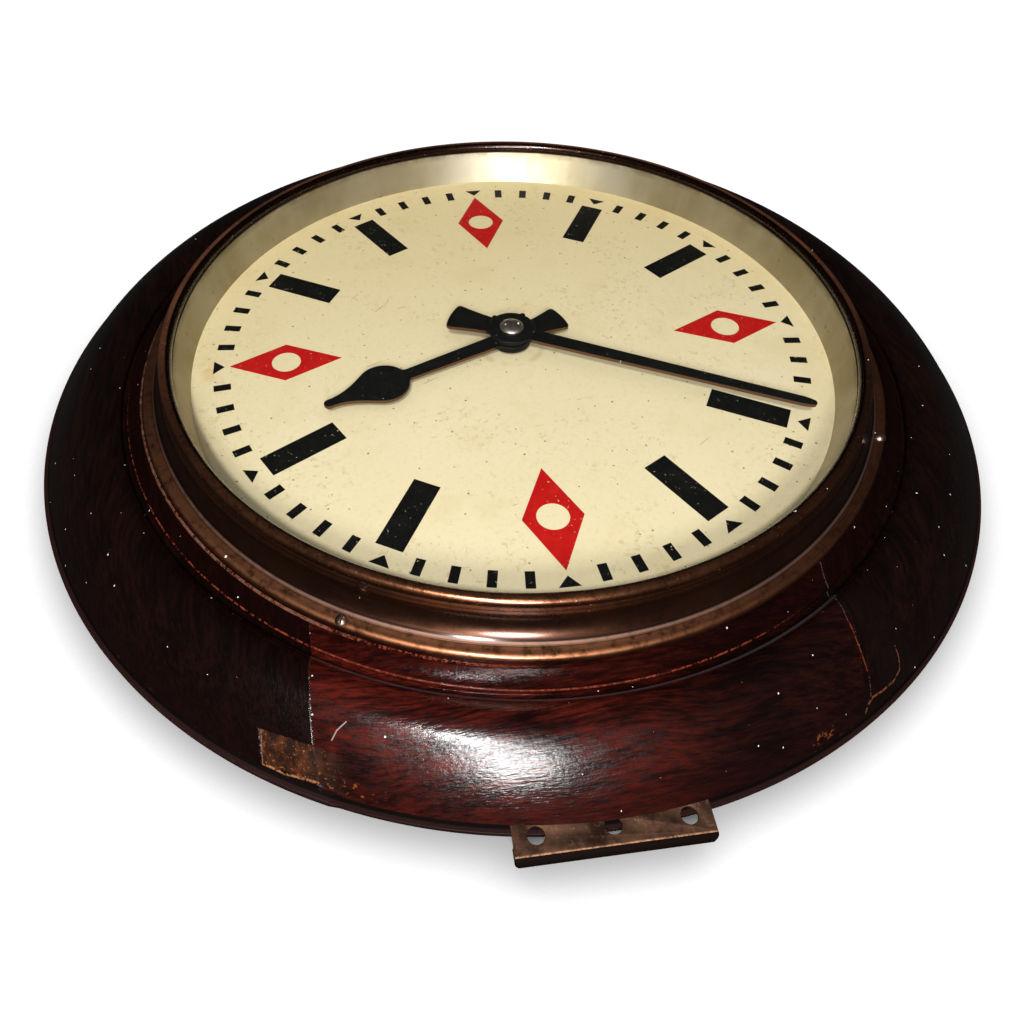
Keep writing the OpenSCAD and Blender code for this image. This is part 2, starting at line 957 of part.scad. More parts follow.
module hand_nut() {
    low = minute_hand_low + hand_t + minute_disc_t;
    dome_r = (nut_r * nut_r + nut_h * nut_h) / (2 * nut_h);
    color(silver)
    upright()
        translate([0, 0, dial_z + low])
            difference() {
                intersection() {
                    translate([0, 0, nut_h + 0.4 - dome_r])
                        sphere(r = dome_r);
                    cylinder(h = 4, r = nut_r, $fn = 72);
                }
                translate([0, 0, -1])
                    cylinder(h = 2, r = arbor_r, $fn = 64);
                for (s = [-1, 1])
                    at(s * nut_r * 0.55, 0, nut_h * 0.55)
                        cylinder(h = 3, r = 0.8, $fn = 32);
            }
}

// Movement frame

// Outline of both movement plates
module plate_outline() {
    w = plate_w / 2;
    c = plate_corner;
    translate([-w + c, plate_low_y])
        square([2 * (w - c), plate_top_y - plate_low_y]);
    translate([-w, plate_low_y + c])
        square([2 * w, plate_top_y - plate_low_y - 2 * c]);
    for (x = [-w + c, w - c])
        for (y = [plate_low_y + c, plate_top_y - c])
            translate([x, y])
                circle(r = c, $fn = 48);
}

module front_plate() {
    color(brass)
    upright()
        translate([0, 0, plate_front_z])
            linear_extrude(height = plate_t)
                difference() {
                    plate_outline();
                    circle(r = arbor_r + run_gap, $fn = 48);
                    translate([0, -rotor_dist])
                        circle(r = rotor_arbor_r + run_gap, $fn = 48);
                    translate([motion_dist, 0])
                        circle(r = stud_r - 0.3, $fn = 48);
                    for (x = [-1, 1])
                        for (y = pillar_y)
                            translate([x * pillar_x, y])
                                circle(r = 1.6, $fn = 32);
                    for (x = [-1, 1])
                        for (y = foot_y)
                            translate([x * foot_x, y])
                                circle(r = 1.4, $fn = 32);
                }
}

module back_plate() {
    color(brass)
    upright()
        translate([0, 0, plate_back_z])
            linear_extrude(height = plate_t)
                difference() {
                    plate_outline();
                    circle(r = arbor_r + run_gap, $fn = 48);
                    translate([0, -rotor_dist])
                        circle(r = rotor_arbor_r + run_gap, $fn = 48);
                    for (x = [-1, 1])
                        for (y = pillar_y)
                            translate([x * pillar_x, y])
                                circle(r = 1.6, $fn = 32);
                    for (x = [-1, 1])
                        for (y = stator_post_y)
                            translate([x * leg_x, y])
                                circle(r = 1.1, $fn = 32);
                    for (x = [-1, 1])
                        translate([x * lead_x, lead_y])
                            circle(r = lead_r + 0.6, $fn = 32);
                }
}

module pillars() {
    color(brass)
    upright()
        for (x = [-1, 1])
            for (y = pillar_y)
                translate([x * pillar_x, y, 0])
                    difference() {
                        ring(plate_back_top, plate_front_z, pillar_r, $fn = 48);
                        at(0, 0, plate_back_top - 1)
                            cylinder(h = 6, r = 1.4, $fn = 32);
                        at(0, 0, plate_front_z - 5)
                            cylinder(h = 6, r = 1.4, $fn = 32);
                    }
}

module pillar_screws() {
    color(steel)
    upright()
        for (x = [-1, 1])
            for (y = pillar_y) {
                at(x * pillar_x, y, plate_front_top)
                    round_screw(2.7, 1.3, 1.4, plate_t + 4, 0.7, $fn = 32);
                at(x * pillar_x, y, plate_back_z)
                    mirror([0, 0, 1])
                        round_screw(2.7, 1.3, 1.4, plate_t + 4, 0.7, $fn = 32);
            }
}

module dial_feet() {
    color(brass)
    upright()
        for (x = [-1, 1])
            for (y = foot_y)
                translate([x * foot_x, y, 0])
                    difference() {
                        ring(plate_front_top, dial_z - dial_t, foot_r, $fn = 48);
                        at(0, 0, plate_front_top - 1)
                            cylinder(h = 4, r = 1.2, $fn = 32);
                    }
}

module dial_foot_screws() {
    color(steel)
    upright()
        for (x = [-1, 1])
            for (y = foot_y)
                at(x * foot_x, y, plate_front_z)
                    mirror([0, 0, 1])
                        round_screw(2.5, 1.2, 1.2, plate_t + 3, 0.6, $fn = 32);
}

// Going train and motion work

module centre_arbor() {
    top = dial_z + minute_hand_low + hand_t + minute_disc_t + 1;
    color(steel)
    upright()
        ring(plate_back_z - 0.8, top, arbor_r, $fn = 64);
}

module centre_wheel() {
    hub_r = 5;
    rim_r = train_module * centre_teeth / 2 - 3.4;
    arm_w = 3.4;
    color(brass)
    upright()
        translate([0, 0, centre_wheel_z])
            difference() {
                union() {
                    difference() {
                        rotate([0, 0, -90])
                            gear(train_module, centre_teeth, centre_wheel_t, arbor_r);
                        translate([0, 0, -1])
                            ring(0, centre_wheel_t + 2, rim_r, hub_r, $fn = 96);
                    }
                    for (i = [0 : 4])
                        at_angle(72 * i)
                            translate([-arm_w / 2, hub_r - 1, 0])
                                cube([arm_w, rim_r - hub_r + 2, centre_wheel_t]);
                    ring(-1.2, centre_wheel_t + 1.2, hub_r, $fn = 64);
                }
                translate([0, 0, -3])
                    cylinder(h = 8, r = arbor_r, $fn = 64);
            }
}

module cannon_pinion() {
    color(brass)
    upright()
        difference() {
            union() {
                translate([0, 0, cannon_z])
                    gear(motion_module, cannon_teeth, cannon_t, arbor_r);
                ring(cannon_z, dial_z + minute_hand_low + hand_t, cannon_pipe_r, $fn = 64);
            }
            translate([0, 0, cannon_z - 1])
                cylinder(h = 40, r = arbor_r, $fn = 64);
        }
}

module minute_wheel() {
    color(brass)
    upright()
        translate([motion_dist, 0, minute_wheel_z])
            rotate([0, 0, 180 + 180 / minute_teeth])
                gear(motion_module, minute_teeth, wheel_t, stud_r + run_gap);
}

module minute_pinion() {
    low = minute_wheel_z + wheel_t;
    color(brass)
    upright()
        translate([motion_dist, 0, low])
            rotate([0, 0, 180])
                gear(motion_module, minute_pinion_teeth, minute_pinion_top - low, stud_r + run_gap);
}

module minute_stud() {
    color(steel)
    upright()
        translate([motion_dist, 0, 0]) {
            ring(plate_front_top, minute_pinion_top + 0.15, stud_r, $fn = 64);
            ring(plate_front_z, plate_front_top + eps, stud_r - 0.3, $fn = 48);
            ring(minute_pinion_top + 0.1, minute_pinion_top + 0.6, stud_r + 0.9, $fn = 64);
        }
}

module hour_wheel() {
    top = dial_z + hour_hand_low + hand_t + 0.3;
    color(brass)
    upright()
        difference() {
            union() {
                translate([0, 0, hour_wheel_z])
                    rotate([0, 0, 180 / hour_teeth])
                        gear(motion_module, hour_teeth, wheel_t, cannon_pipe_r + run_gap);
                ring(hour_wheel_z - 0.4, top, hour_pipe_r, $fn = 64);
            }
            translate([0, 0, hour_wheel_z - 1])
                cylinder(h = 20, r = cannon_pipe_r + run_gap, $fn = 64);
        }
}

// Rotor

module rotor_magnet() {
    color(steel)
    upright()
        translate([0, -rotor_dist, 0])
            ring(rotor_z, rotor_z + rotor_t, rotor_r, rotor_arbor_r, $fn = 72);
}

module rotor_arbor() {
    color(steel)
    upright()
        translate([0, -rotor_dist, 0])
            ring(plate_back_z - 0.5, plate_front_top - 0.4, rotor_arbor_r, $fn = 48);
}

module rotor_pinion() {
    color(brass)
    upright()
        translate([0, -rotor_dist, centre_wheel_z - 0.6])
            rotate([0, 0, 90 + 180 / rotor_teeth])
                gear(train_module, rotor_teeth, centre_wheel_t + 1.2, rotor_arbor_r);
}

// Poles, yoke and coils

module pole_pieces() {
    color(steel)
    upright()
        for (s = [-1, 1])
            translate([0, 0, pole_z])
                linear_extrude(height = pole_t)
                    difference() {
                        union() {
                            translate([0, -rotor_dist])
                                intersection() {
                                    circle(r = pole_r, $fn = 96);
                                    translate([s * (pole_r / 2 + 3), 0])
                                        square([pole_r, 2 * pole_r], center = true);
                                }
                            translate([s * (leg_x + leg_w / 2 + 10) / 2, -rotor_dist])
                                square([leg_x + leg_w / 2 - 10, 14], center = true);
                            translate([s * leg_x - leg_w / 2, leg_low])
                                square([leg_w, -leg_low - rotor_dist + 7]);
                        }
                        translate([0, -rotor_dist])
                            circle(r = rotor_r + pole_gap, $fn = 96);
                        for (y = stator_post_y)
                            translate([s * leg_x, y])
                                circle(r = 1.2, $fn = 32);
                    }
}

module stator_yoke() {
    color(steel)
    upright()
        translate([0, 0, pole_z - pole_t])
            linear_extrude(height = pole_t)
                difference() {
                    translate([-leg_x - leg_w / 2, leg_low])
                        square([2 * leg_x + leg_w, yoke_h]);
                    for (s = [-1, 1])
                        translate([s * leg_x, stator_post_y[1]])
                            circle(r = 1.2, $fn = 32);
                }
}

module stator_posts() {
    post_tops = [pole_z, pole_z - pole_t];
    color(brass)
    upright()
        for (s = [-1, 1])
            for (i = [0, 1])
                translate([s * leg_x, stator_post_y[i], 0])
                    difference() {
                        ring(plate_back_top, post_tops[i], 2.4, $fn = 48);
                        at(0, 0, plate_back_top - 1)
                            cylinder(h = 9, r = 1.1, $fn = 32);
                    }
}

module stator_screws() {
    color(steel)
    upright()
        for (s = [-1, 1])
            for (y = stator_post_y)
                at(s * leg_x, y, pole_z + pole_t)
                    round_screw(2.2, 1.2, 1.1, pole_z + pole_t - plate_back_z, 0.6, $fn = 32);
}

// One coil's round body along the leg, from one height to another
module coil_body(s, y0, y1, r) {
    translate([s * leg_x, y1, coil_z])
        rotate([90, 0, 0])
            cylinder(h = y1 - y0, r = r, $fn = 64);
}

module coil_bobbins() {
    color(plastic)
    upright()
        for (s = [-1, 1])
            difference() {
                union() {
                    coil_body(s, coil_low, coil_top, coil_tube_r);
                    coil_body(s, coil_top - coil_flange_t, coil_top, coil_flange_r);
                    coil_body(s, coil_low, coil_low + coil_flange_t, coil_flange_r);
                }
                translate([s * leg_x - leg_w / 2 - 0.1, coil_low - 1, pole_z - 0.1])
                    cube([leg_w + 0.2, coil_top - coil_low + 2, pole_t + 0.2]);
            }
}

module coil_windings() {
    color(copper)
    upright()
        for (s = [-1, 1])
            difference() {
                coil_body(s, coil_low + coil_flange_t, coil_top - coil_flange_t, coil_wind_r);
                coil_body(s, coil_low, coil_top, coil_tube_r);
            }
}

module coil_leads() {
    turn_z = plate_back_z - term_t / 2;
    color(red)
    upright()
        for (s = [-1, 1]) {
            at(s * lead_x, lead_y, turn_z)
                cylinder(h = coil_z - turn_z, r = lead_r, $fn = 32);
            at(s * lead_x, lead_y, turn_z)
                sphere(r = lead_r, $fn = 32);
            at(s * lead_x, lead_y, turn_z)
                rotate([90, 0, s * -45])
                    cylinder(h = 4.4, r = lead_r, $fn = 32);
        }
}

module terminal_block() {
    color(plastic)
    upright()
        difference() {
            translate([-term_w / 2, term_y - term_h / 2, plate_back_z - term_t])
                cube([term_w, term_h, term_t]);
            for (s = [-1, 1])
                at(s * term_w / 4, term_y, plate_back_z - term_t - 1)
                    cylinder(h = 5, r = 1.4, $fn = 32);
            for (s = [-1, 1])
                translate([s * lead_x, lead_y, plate_back_z - term_t / 2])
                    rotate([90, 0, s * -45])
                        cylinder(h = 8, r = lead_r, $fn = 32);
        }
}

module terminal_screws() {
    color(brass)
    upright()
        for (s = [-1, 1])
            at(s * term_w / 4, term_y, plate_back_z - term_t)
                mirror([0, 0, 1])
                    round_screw(2.4, 1.2, 1.4, 3.6, 0.6, $fn = 32);
}

wood_surround();
back_board();
board_screws();
lower_bracket();
bracket_screws();
hanger_plate();
hanger_screws();
rear_cover();
cover_screws();
cable_grommet();
bezel();
bezel_screws();
glass();
sight_ring();
dial_plate();
minute_marks();
hour_bars();
hour_diamonds();
hour_hand();
hour_boss();
minute_hand();
minute_boss();
hand_nut();
front_plate();
back_plate();
pillars();
pillar_screws();
dial_feet();
dial_foot_screws();
centre_arbor();
centre_wheel();
cannon_pinion();
minute_wheel();
minute_pinion();
minute_stud();
hour_wheel();
rotor_magnet();
rotor_arbor();
rotor_pinion();
pole_pieces();
stator_yoke();
stator_posts();
stator_screws();
coil_bobbins();
coil_windings();
coil_leads();
terminal_block();
terminal_screws();
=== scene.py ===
import bpy
import math
from mathutils import Matrix, Vector


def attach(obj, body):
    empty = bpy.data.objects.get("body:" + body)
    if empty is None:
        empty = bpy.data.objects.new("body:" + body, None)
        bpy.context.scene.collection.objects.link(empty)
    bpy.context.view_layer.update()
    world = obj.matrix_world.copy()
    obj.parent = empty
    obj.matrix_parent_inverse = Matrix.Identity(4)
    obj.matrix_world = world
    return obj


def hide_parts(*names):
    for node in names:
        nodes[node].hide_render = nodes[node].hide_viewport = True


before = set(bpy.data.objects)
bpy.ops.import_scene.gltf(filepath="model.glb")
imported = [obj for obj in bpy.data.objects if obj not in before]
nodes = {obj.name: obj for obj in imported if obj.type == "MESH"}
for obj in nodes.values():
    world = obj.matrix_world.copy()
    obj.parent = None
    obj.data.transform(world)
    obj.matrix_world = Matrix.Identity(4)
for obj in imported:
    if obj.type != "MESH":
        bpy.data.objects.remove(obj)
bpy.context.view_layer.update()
print("loaded the clock with", len(nodes), "pieces")

# metres; the dial faces -Y, 12 o'clock is +Z, the wall is y = 0
dialFront = -0.0355
fullTurn = 2 * math.pi
roundSteps = 360  # faces round each of the large turned pieces


# camera

camera = {
    "lens": 25.57,
    "shift": (0.0402, 0.0481),
    "place": (-0.0559, -0.2621, -0.2811),
    "right": (0.99188, -0.00247, -0.12714),
    "up": (0.10280, -0.57301, 0.81307),
    "back": (-0.07486, -0.81954, -0.56811),
}

cameraData = bpy.data.cameras.new("photoCamera")
cameraData.lens = camera["lens"]
cameraData.sensor_width = 36
cameraData.shift_x, cameraData.shift_y = camera["shift"]
cameraData.clip_start = 0.01
cameraObject = bpy.data.objects.new("photoCamera", cameraData)
turn = Matrix((camera["right"], camera["up"], camera["back"])).transposed().to_4x4()
cameraObject.matrix_world = Matrix.Translation(camera["place"]) @ turn
bpy.context.scene.collection.objects.link(cameraObject)
bpy.context.scene.camera = cameraObject
bpy.context.scene.view_settings.view_transform = "Standard"


# light

lamps = {
    "flash": {"place": (-0.190, -0.782, -0.612), "aim": (0, 0, 0), "size": 0.11, "watts": 6.7},
    "lowSoft": {"place": (-0.090, -0.545, -0.800), "aim": (0, -0.02, -0.15), "size": 0.22, "watts": 5.8},
    "rear": {"place": (0.5, 1.4, 0.9), "aim": (0, 0, 0), "size": 1.0, "watts": 20.0},
}

for name, lamp in lamps.items():
    lampData = bpy.data.lights.new(name, "AREA")
    lampData.shape = "DISK"
    lampData.size = lamp["size"]
    lampData.energy = lamp["watts"]
    lampObject = bpy.data.objects.new(name, lampData)
    aim = Vector(lamp["aim"]) - Vector(lamp["place"])
    lampObject.rotation_mode = "QUATERNION"
    lampObject.rotation_quaternion = aim.to_track_quat("-Z", "Y")
    lampObject.location = lamp["place"]
    lampObject.visible_camera = False
    bpy.context.scene.collection.objects.link(lampObject)
print("camera and lamps are set")


# paint bench

class Finish:
    # one material, with short calls for the nodes that paint it
    def __init__(self, name, **plain):
        self.material = bpy.data.materials.new(name)
        self.material.use_nodes = True
        self.tree = self.material.node_tree
        self.shader = self.tree.nodes["Principled BSDF"]
        for socket, value in plain.items():
            self.set(socket, value)

    def set(self, socket, value):
        # "base" is Base Color, and so on: the names that Python can't hold
        long = {"base": "Base Color", "rough": "Roughness", "metal": "Metallic", "coat": "Coat Weight",
                "coatRough": "Coat Roughness", "specular": "Specular IOR Level", "alpha": "Alpha",
                "bump": "Normal", "brushed": "Anisotropic", "across": "Tangent"}[socket]
        self.feed(self.shader.inputs[long], value)

    def feed(self, socket, value):
        if isinstance(value, bpy.types.NodeSocket):
            self.tree.links.new(value, socket)
        elif isinstance(value, tuple) and len(value) == 3 and len(socket.default_value) == 4:
            socket.default_value = (*value, 1)
        else:
            socket.default_value = value

    def add(self, kind, inputs=(), output=0, **settings):
        node = self.tree.nodes.new("ShaderNode" + kind)
        for key, value in settings.items():
            setattr(node, key, value)
        for key, value in dict(inputs).items():
            self.feed(node.inputs[key], value)
        return node.outputs[output]

    def math(self, operation, a, b=0.0, clamp=False):
        return self.add("Math", {0: a, 1: b}, operation=operation, use_clamp=clamp)

    def chain(self, operation, values):
        total = values[0]
        for value in values[1:]:
            total = self.math(operation, total, value)
        return total

    def plus(self, *values):
        return self.chain("ADD", values)

    def times(self, *values):
        return self.chain("MULTIPLY", values)

    def most(self, *values):
        return self.chain("MAXIMUM", values)

    def less(self, a, b):
        return self.math("SUBTRACT", a, b)

    def step(self, value, low, high):
        # 0 at low and 1 at high, smooth between, either way round
        inputs = {0: value, 1: low, 2: high, 3: 0.0, 4: 1.0}
        return self.add("MapRange", inputs, interpolation_type="SMOOTHSTEP")

    def band(self, value, low, high, soft):
        rising = self.step(value, low - soft, low + soft)
        return self.times(rising, self.step(value, high + soft, high - soft))

    def mix(self, factor, a, b):
        return self.add("Mix", {0: factor, 6: a, 7: b}, 2, data_type="RGBA")

    def over(self, tone, colour, *masks):
        # paints the colour over the tone where all the masks are 1
        return self.mix(self.times(*masks), tone, colour)

    def join(self, x, y, z):
        return self.add("CombineXYZ", {0: x, 1: y, 2: z})

    def noise(self, vector, scale, detail=3.0, rough=0.5):
        inputs = {"Vector": vector, "Scale": scale, "Detail": detail, "Roughness": rough}
        return self.add("TexNoise", inputs)

    def spots(self, scale, low, high, detail=3.0, rough=0.7):
        # patches of noise, 0 below low and 1 above high
        return self.step(self.noise(self.at, scale, detail, rough), low, high)

    def place(self):
        # the object's own coordinates, split into what a round piece needs
        self.at = self.add("TexCoord", output=3)
        split = self.tree.nodes.new("ShaderNodeSeparateXYZ")
        self.feed(split.inputs[0], self.at)
        self.x, self.y, self.z = split.outputs
        self.flat = self.join(self.x, 0.0, self.z)
        self.radius = self.add("VectorMath", {0: self.flat}, 1, operation="LENGTH")
        self.height = self.less(dialFront, self.y)
        return self

    def belt(self, inner, outer, soft, low, high):
        # a band between two radii, on one side of a height above the dial
        return self.times(self.band(self.radius, inner, outer, soft), self.step(self.height, low, high))

    def ring(self, along, across):
        # coordinates whose noise runs round the clock in long thin lines
        unit = self.add("VectorMath", {0: self.flat}, 0, operation="NORMALIZE")
        split = self.tree.nodes.new("ShaderNodeSeparateXYZ")
        self.feed(split.inputs[0], unit)
        lift = self.times(self.less(self.radius, self.y), across)
        return self.join(self.times(split.outputs[0], along), lift, self.times(split.outputs[2], along))

    def line(self, points, width):
        # a thin line through points on the clock's front, in metres
        total = None
        for (ax, az), (bx, bz) in zip(points, points[1:]):
            dx, dz = bx - ax, bz - az
            length = dx * dx + dz * dz
            px = self.less(self.x, ax)
            pz = self.less(self.z, az)
            share = self.math("ADD", self.times(px, dx / length), self.times(pz, dz / length), True)
            gap = self.join(self.less(px, self.times(share, dx)), 0.0,
                            self.less(pz, self.times(share, dz)))
            gap = self.add("VectorMath", {0: gap}, 1, operation="LENGTH")
            total = gap if total is None else self.math("MINIMUM", total, gap)
        return self.step(total, width, width * 0.3)

    def dust(self, cell, size, share, tone):
        # sparse round specks
        cells = self.tree.nodes.new("ShaderNodeTexVoronoi")
        cells.voronoi_dimensions = "2D"
        self.feed(cells.inputs["Vector"], self.join(self.x, self.z, 0.0))
        cells.inputs["Scale"].default_value = 1 / cell
        split = self.tree.nodes.new("ShaderNodeSeparateColor")
        self.feed(split.inputs[0], cells.outputs["Color"])
        chosen = self.math("LESS_THAN", split.outputs[0], share)
        reach = self.times(split.outputs[1], size / cell)
        near = self.math("LESS_THAN", cells.outputs["Distance"], reach)
        return self.times(chosen, near, tone)

    def bump(self, height, distance, strength=1.0, under=None):
        inputs = {"Height": height, "Distance": distance, "Strength": strength}
        if under is not None:
            inputs["Normal"] = under
        return self.add("Bump", inputs)

    def give(self, *pieces):
        for piece in pieces:
            piece.data.materials.clear()
            piece.data.materials.append(self.material)


# modelling bench

def deselect():
    if bpy.context.object is not None and bpy.context.object.mode != "OBJECT":
        bpy.ops.object.mode_set(mode="OBJECT")
    bpy.ops.object.select_all(action="DESELECT")


def pick(piece):
    deselect()
    piece.select_set(True)
    bpy.context.view_layer.objects.active = piece


def editAll(piece):
    pick(piece)
    bpy.ops.object.mode_set(mode="EDIT")
    bpy.ops.mesh.select_mode(type="VERT")
    bpy.ops.mesh.select_all(action="SELECT")


def done(piece, smooth=35):
    deselect()
    pick(piece)
    bpy.ops.object.transform_apply(location=True, rotation=True, scale=True)
    bpy.ops.object.shade_smooth_by_angle(angle=math.radians(smooth))
    deselect()
    return piece


def trace(name, points):
    # a small square is merged to one vertex, which is then extruded from point to point
    deselect()
    bpy.ops.mesh.primitive_plane_add(size=0.001, location=points[0])
    piece = bpy.context.object
    piece.name = piece.data.name = name
    bpy.ops.object.transform_apply(location=True)
    editAll(piece)
    bpy.ops.mesh.merge(type="CENTER")
    for here, there in zip(points, points[1:]):
        move = Vector(there) - Vector(here)
        bpy.ops.mesh.extrude_vertices_move(TRANSFORM_OT_translate={"value": move})
    bpy.ops.object.mode_set(mode="OBJECT")
    return piece


def tidyMesh(gap=1e-6):
    bpy.ops.mesh.select_all(action="SELECT")
    bpy.ops.mesh.remove_doubles(threshold=gap)
    bpy.ops.mesh.normals_make_consistent(inside=False)


def turned(name, outline, steps, centre=(0, 0, 0), smooth=35):
    # outline holds (radius, y) pairs, in metres; it is spun about the Y axis through centre
    points = [(centre[0] + r, y, centre[2]) for r, y in outline]
    piece = trace(name, points + points[:1])
    editAll(piece)
    bpy.ops.mesh.spin(steps=steps, angle=fullTurn, center=centre, axis=(0, 1, 0), use_auto_merge=True)
    tidyMesh()
    return done(piece, smooth)


def slab(name, outline, low, high):
    # outline holds (x, z) pairs on the plane y = low; the plate is extruded to y = high
    piece = trace(name, [(x, low, z) for x, z in outline])
    editAll(piece)
    bpy.ops.mesh.edge_face_add()
    bpy.ops.mesh.extrude_region_move(TRANSFORM_OT_translate={"value": (0, high - low, 0)})
    tidyMesh()
    return done(piece)


def soften(piece, width, segments=2, angle=40):
    pick(piece)
    bevel = piece.modifiers.new("soften", "BEVEL")
    bevel.width = width
    bevel.segments = segments
    bevel.limit_method = "ANGLE"
    bevel.angle_limit = math.radians(angle)
    bpy.ops.object.modifier_apply(modifier="soften")
    deselect()
    return piece


def cut(piece, tool):
    # takes the tool's shape out of the piece, then throws the tool away
    pick(piece)
    saw = piece.modifiers.new("saw", "BOOLEAN")
    saw.operation = "DIFFERENCE"
    saw.solver = "EXACT"
    saw.object = tool
    bpy.ops.object.modifier_apply(modifier="saw")
    bpy.data.objects.remove(tool)
    deselect()


def drill(radius, place, length):
    # a cylinder along Y, as a tool for cut
    deselect()
    bpy.ops.mesh.primitive_cylinder_add(vertices=48, radius=radius, depth=length, location=place,
                                        rotation=(math.pi / 2, 0, 0))
    return done(bpy.context.object)


def block(size, place, turnY=0.0):
    deselect()
    bpy.ops.mesh.primitive_cube_add(size=1, location=place, rotation=(0, turnY, 0))
    bpy.context.object.scale = size
    return done(bpy.context.object)


def joinAll(name, pieces):
    deselect()
    for piece in pieces:
        piece.select_set(True)
    bpy.context.view_layer.objects.active = pieces[0]
    bpy.ops.object.join()
    pieces[0].name = pieces[0].data.name = name
    deselect()
    return pieces[0]


def around(centre, radius, angle):
    # a point of an outline, by its angle in degrees from the outline's first direction
    a = math.radians(angle)
    return (centre[0] + radius * math.cos(a), centre[1] + radius * math.sin(a))


def arc(centre, radius, start, end, steps):
    return [around(centre, radius, start + (end - start) * i / steps) for i in range(steps + 1)]


def onDial(outline):
    # millimetres from the axis and above the dial, to metres and y
    return [(r / 1000, dialFront - h / 1000) for r, h in outline]


def clockPoint(angle, radius, height):
    # a place by its clockwise angle from 12, in millimetres
    a = math.radians(angle)
    return Vector((radius * math.sin(a) / 1000, dialFront - height / 1000, radius * math.cos(a) / 1000))


def fit(piece, body, node):
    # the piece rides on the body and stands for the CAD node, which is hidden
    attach(piece, body)
    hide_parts(node)


# wooden case

# millimetres, as radius from the axis and height above the dial
caseWood = {
    "bore": 146, "recess": 156.3, "ledgeTop": 0.5, "ledgeEdge": 172.1, "rim": (179.2, -3.8),
    "grooveFloor": -5.8, "shoulder": ((183.9, -4.92), 2.0), "crest": (190.5, -0.5),
    "crestIn": 12.2, "crestOut": 17.5, "slope": 30, "foot": (219.7, -20.5), "spigot": 216.1,
}


def caseOutline():
    w = caseWood
    crest = w["crest"]
    inner = (crest[0], crest[1] - w["crestIn"])
    outer = (crest[0], crest[1] - w["crestOut"])
    # the crest ends where its slope is reached; one wide arc goes on from there to the foot
    upright = 90 - w["slope"]
    leave = Vector(around(outer, w["crestOut"], upright))
    inward = -Vector(around((0, 0), 1, upright))
    foot = Vector(w["foot"])
    span = foot - leave
    reach = span.dot(span) / (2 * inward.dot(span))
    side = leave + inward * reach
    last = math.degrees(math.atan2(foot.y - side.y, foot.x - side.x))
    neck = []
    for i in range(1, 8):
        t = i / 8
        r = w["ledgeEdge"] + (w["rim"][0] - w["ledgeEdge"]) * t
        h = 0.1 + (w["rim"][1] - 0.1) * t - 0.55 * math.sin(math.pi * t)
        neck.append((r, h))
    return (
        [(w["bore"], -22), (w["bore"], -1), (w["recess"], -1), (w["recess"], w["ledgeTop"])]
        + [(171.6, w["ledgeTop"])] + arc((171.7, 0.1), 0.4, 80, 10, 3)
        + neck
        + arc((w["rim"][0] - 0.25, w["rim"][1] - 0.25), 0.35, 60, -20, 4)
        + [(179.5, -5.3), (180.1, w["grooveFloor"]), (181.3, w["grooveFloor"]), (181.85, -5.45)]
        + arc(*w["shoulder"], 178, 132, 6)
        + arc(inner, w["crestIn"], 130.3, 90, 12)
        + arc(outer, w["crestOut"], 86, upright, 10)
        + arc(side, reach, upright - 1, last, 22)
        + [(219.5, -20.9), (w["spigot"], -20.9), (w["spigot"], -22)]
    )


caseBody = turned("caseBody", onDial(caseOutline()), roundSteps, smooth=50)

# a piece of veneer is lost at the lower left: the wood there lies a little below the surface
barePatch = {
    "corners": [(-0.1145, -0.1767), (-0.0985, -0.1847), (-0.0930, -0.1875), (-0.0950, -0.1968),
                (-0.1155, -0.1858)],
    "box": ((-0.121, -0.089), (-0.201, -0.172)), "depth": 0.0004,
}


def inside(x, z, corners):
    hit = False
    for (ax, az), (bx, bz) in zip(corners, corners[1:] + corners[:1]):
        if (az > z) != (bz > z) and x < (bx - ax) * (z - az) / (bz - az) + ax:
            hit = not hit
    return hit


def selectFaces(piece, test):
    bpy.ops.mesh.select_mode(type="FACE")
    bpy.ops.mesh.select_all(action="DESELECT")
    bpy.ops.object.mode_set(mode="OBJECT")
    for face in piece.data.polygons:
        face.select = bool(test(face.center, face.normal))
    bpy.ops.object.mode_set(mode="EDIT")


def outerSlope(centre, normal):
    return centre.y > -0.032 and normal.y < -0.2


def nearPatch(centre, normal):
    (left, right), (low, high) = barePatch["box"]
    beside = left < centre.x < right and low < centre.z < high
    return beside and outerSlope(centre, normal)


def onPatch(centre, normal):
    return inside(centre.x, centre.z, barePatch["corners"]) and outerSlope(centre, normal)


editAll(caseBody)
selectFaces(caseBody, nearPatch)
bpy.ops.mesh.subdivide(number_cuts=3)
selectFaces(caseBody, onPatch)
bpy.ops.transform.shrink_fatten(value=-barePatch["depth"])
caseBody = done(caseBody, 50)
fit(caseBody, "case", "wood_surround")
print("case turned")


# back board

# millimetres, with the thinning of the edge strip in degrees from 12 and in metres
board = {
    "radius": 222.7, "back": -26.0, "front": -22.0, "hole": 98.0, "round": 0.8,
    "thinFrom": 60, "thinTo": 204, "thinBy": 0.0005, "stripFrom": 0.2222,
}

boardOutline = (
    [(board["hole"], board["back"]), (board["hole"], board["front"])]
    + arc((board["radius"] - board["round"], board["front"] - board["round"]), board["round"], 90, 0, 4)
    + arc((board["radius"] - board["round"], board["back"] + board["round"]), board["round"], 0, -90, 4)
)
boardDisc = turned("boardDisc", onDial(boardOutline), roundSteps)


def thinStrip(centre, normal):
    # the edge strip is a little thinner over the lower right half
    angle = math.degrees(math.atan2(centre.x, centre.z)) % 360
    strip = math.hypot(centre.x, centre.z) > board["stripFrom"] and abs(normal.y) < 0.9
    return strip and board["thinFrom"] < angle < board["thinTo"]


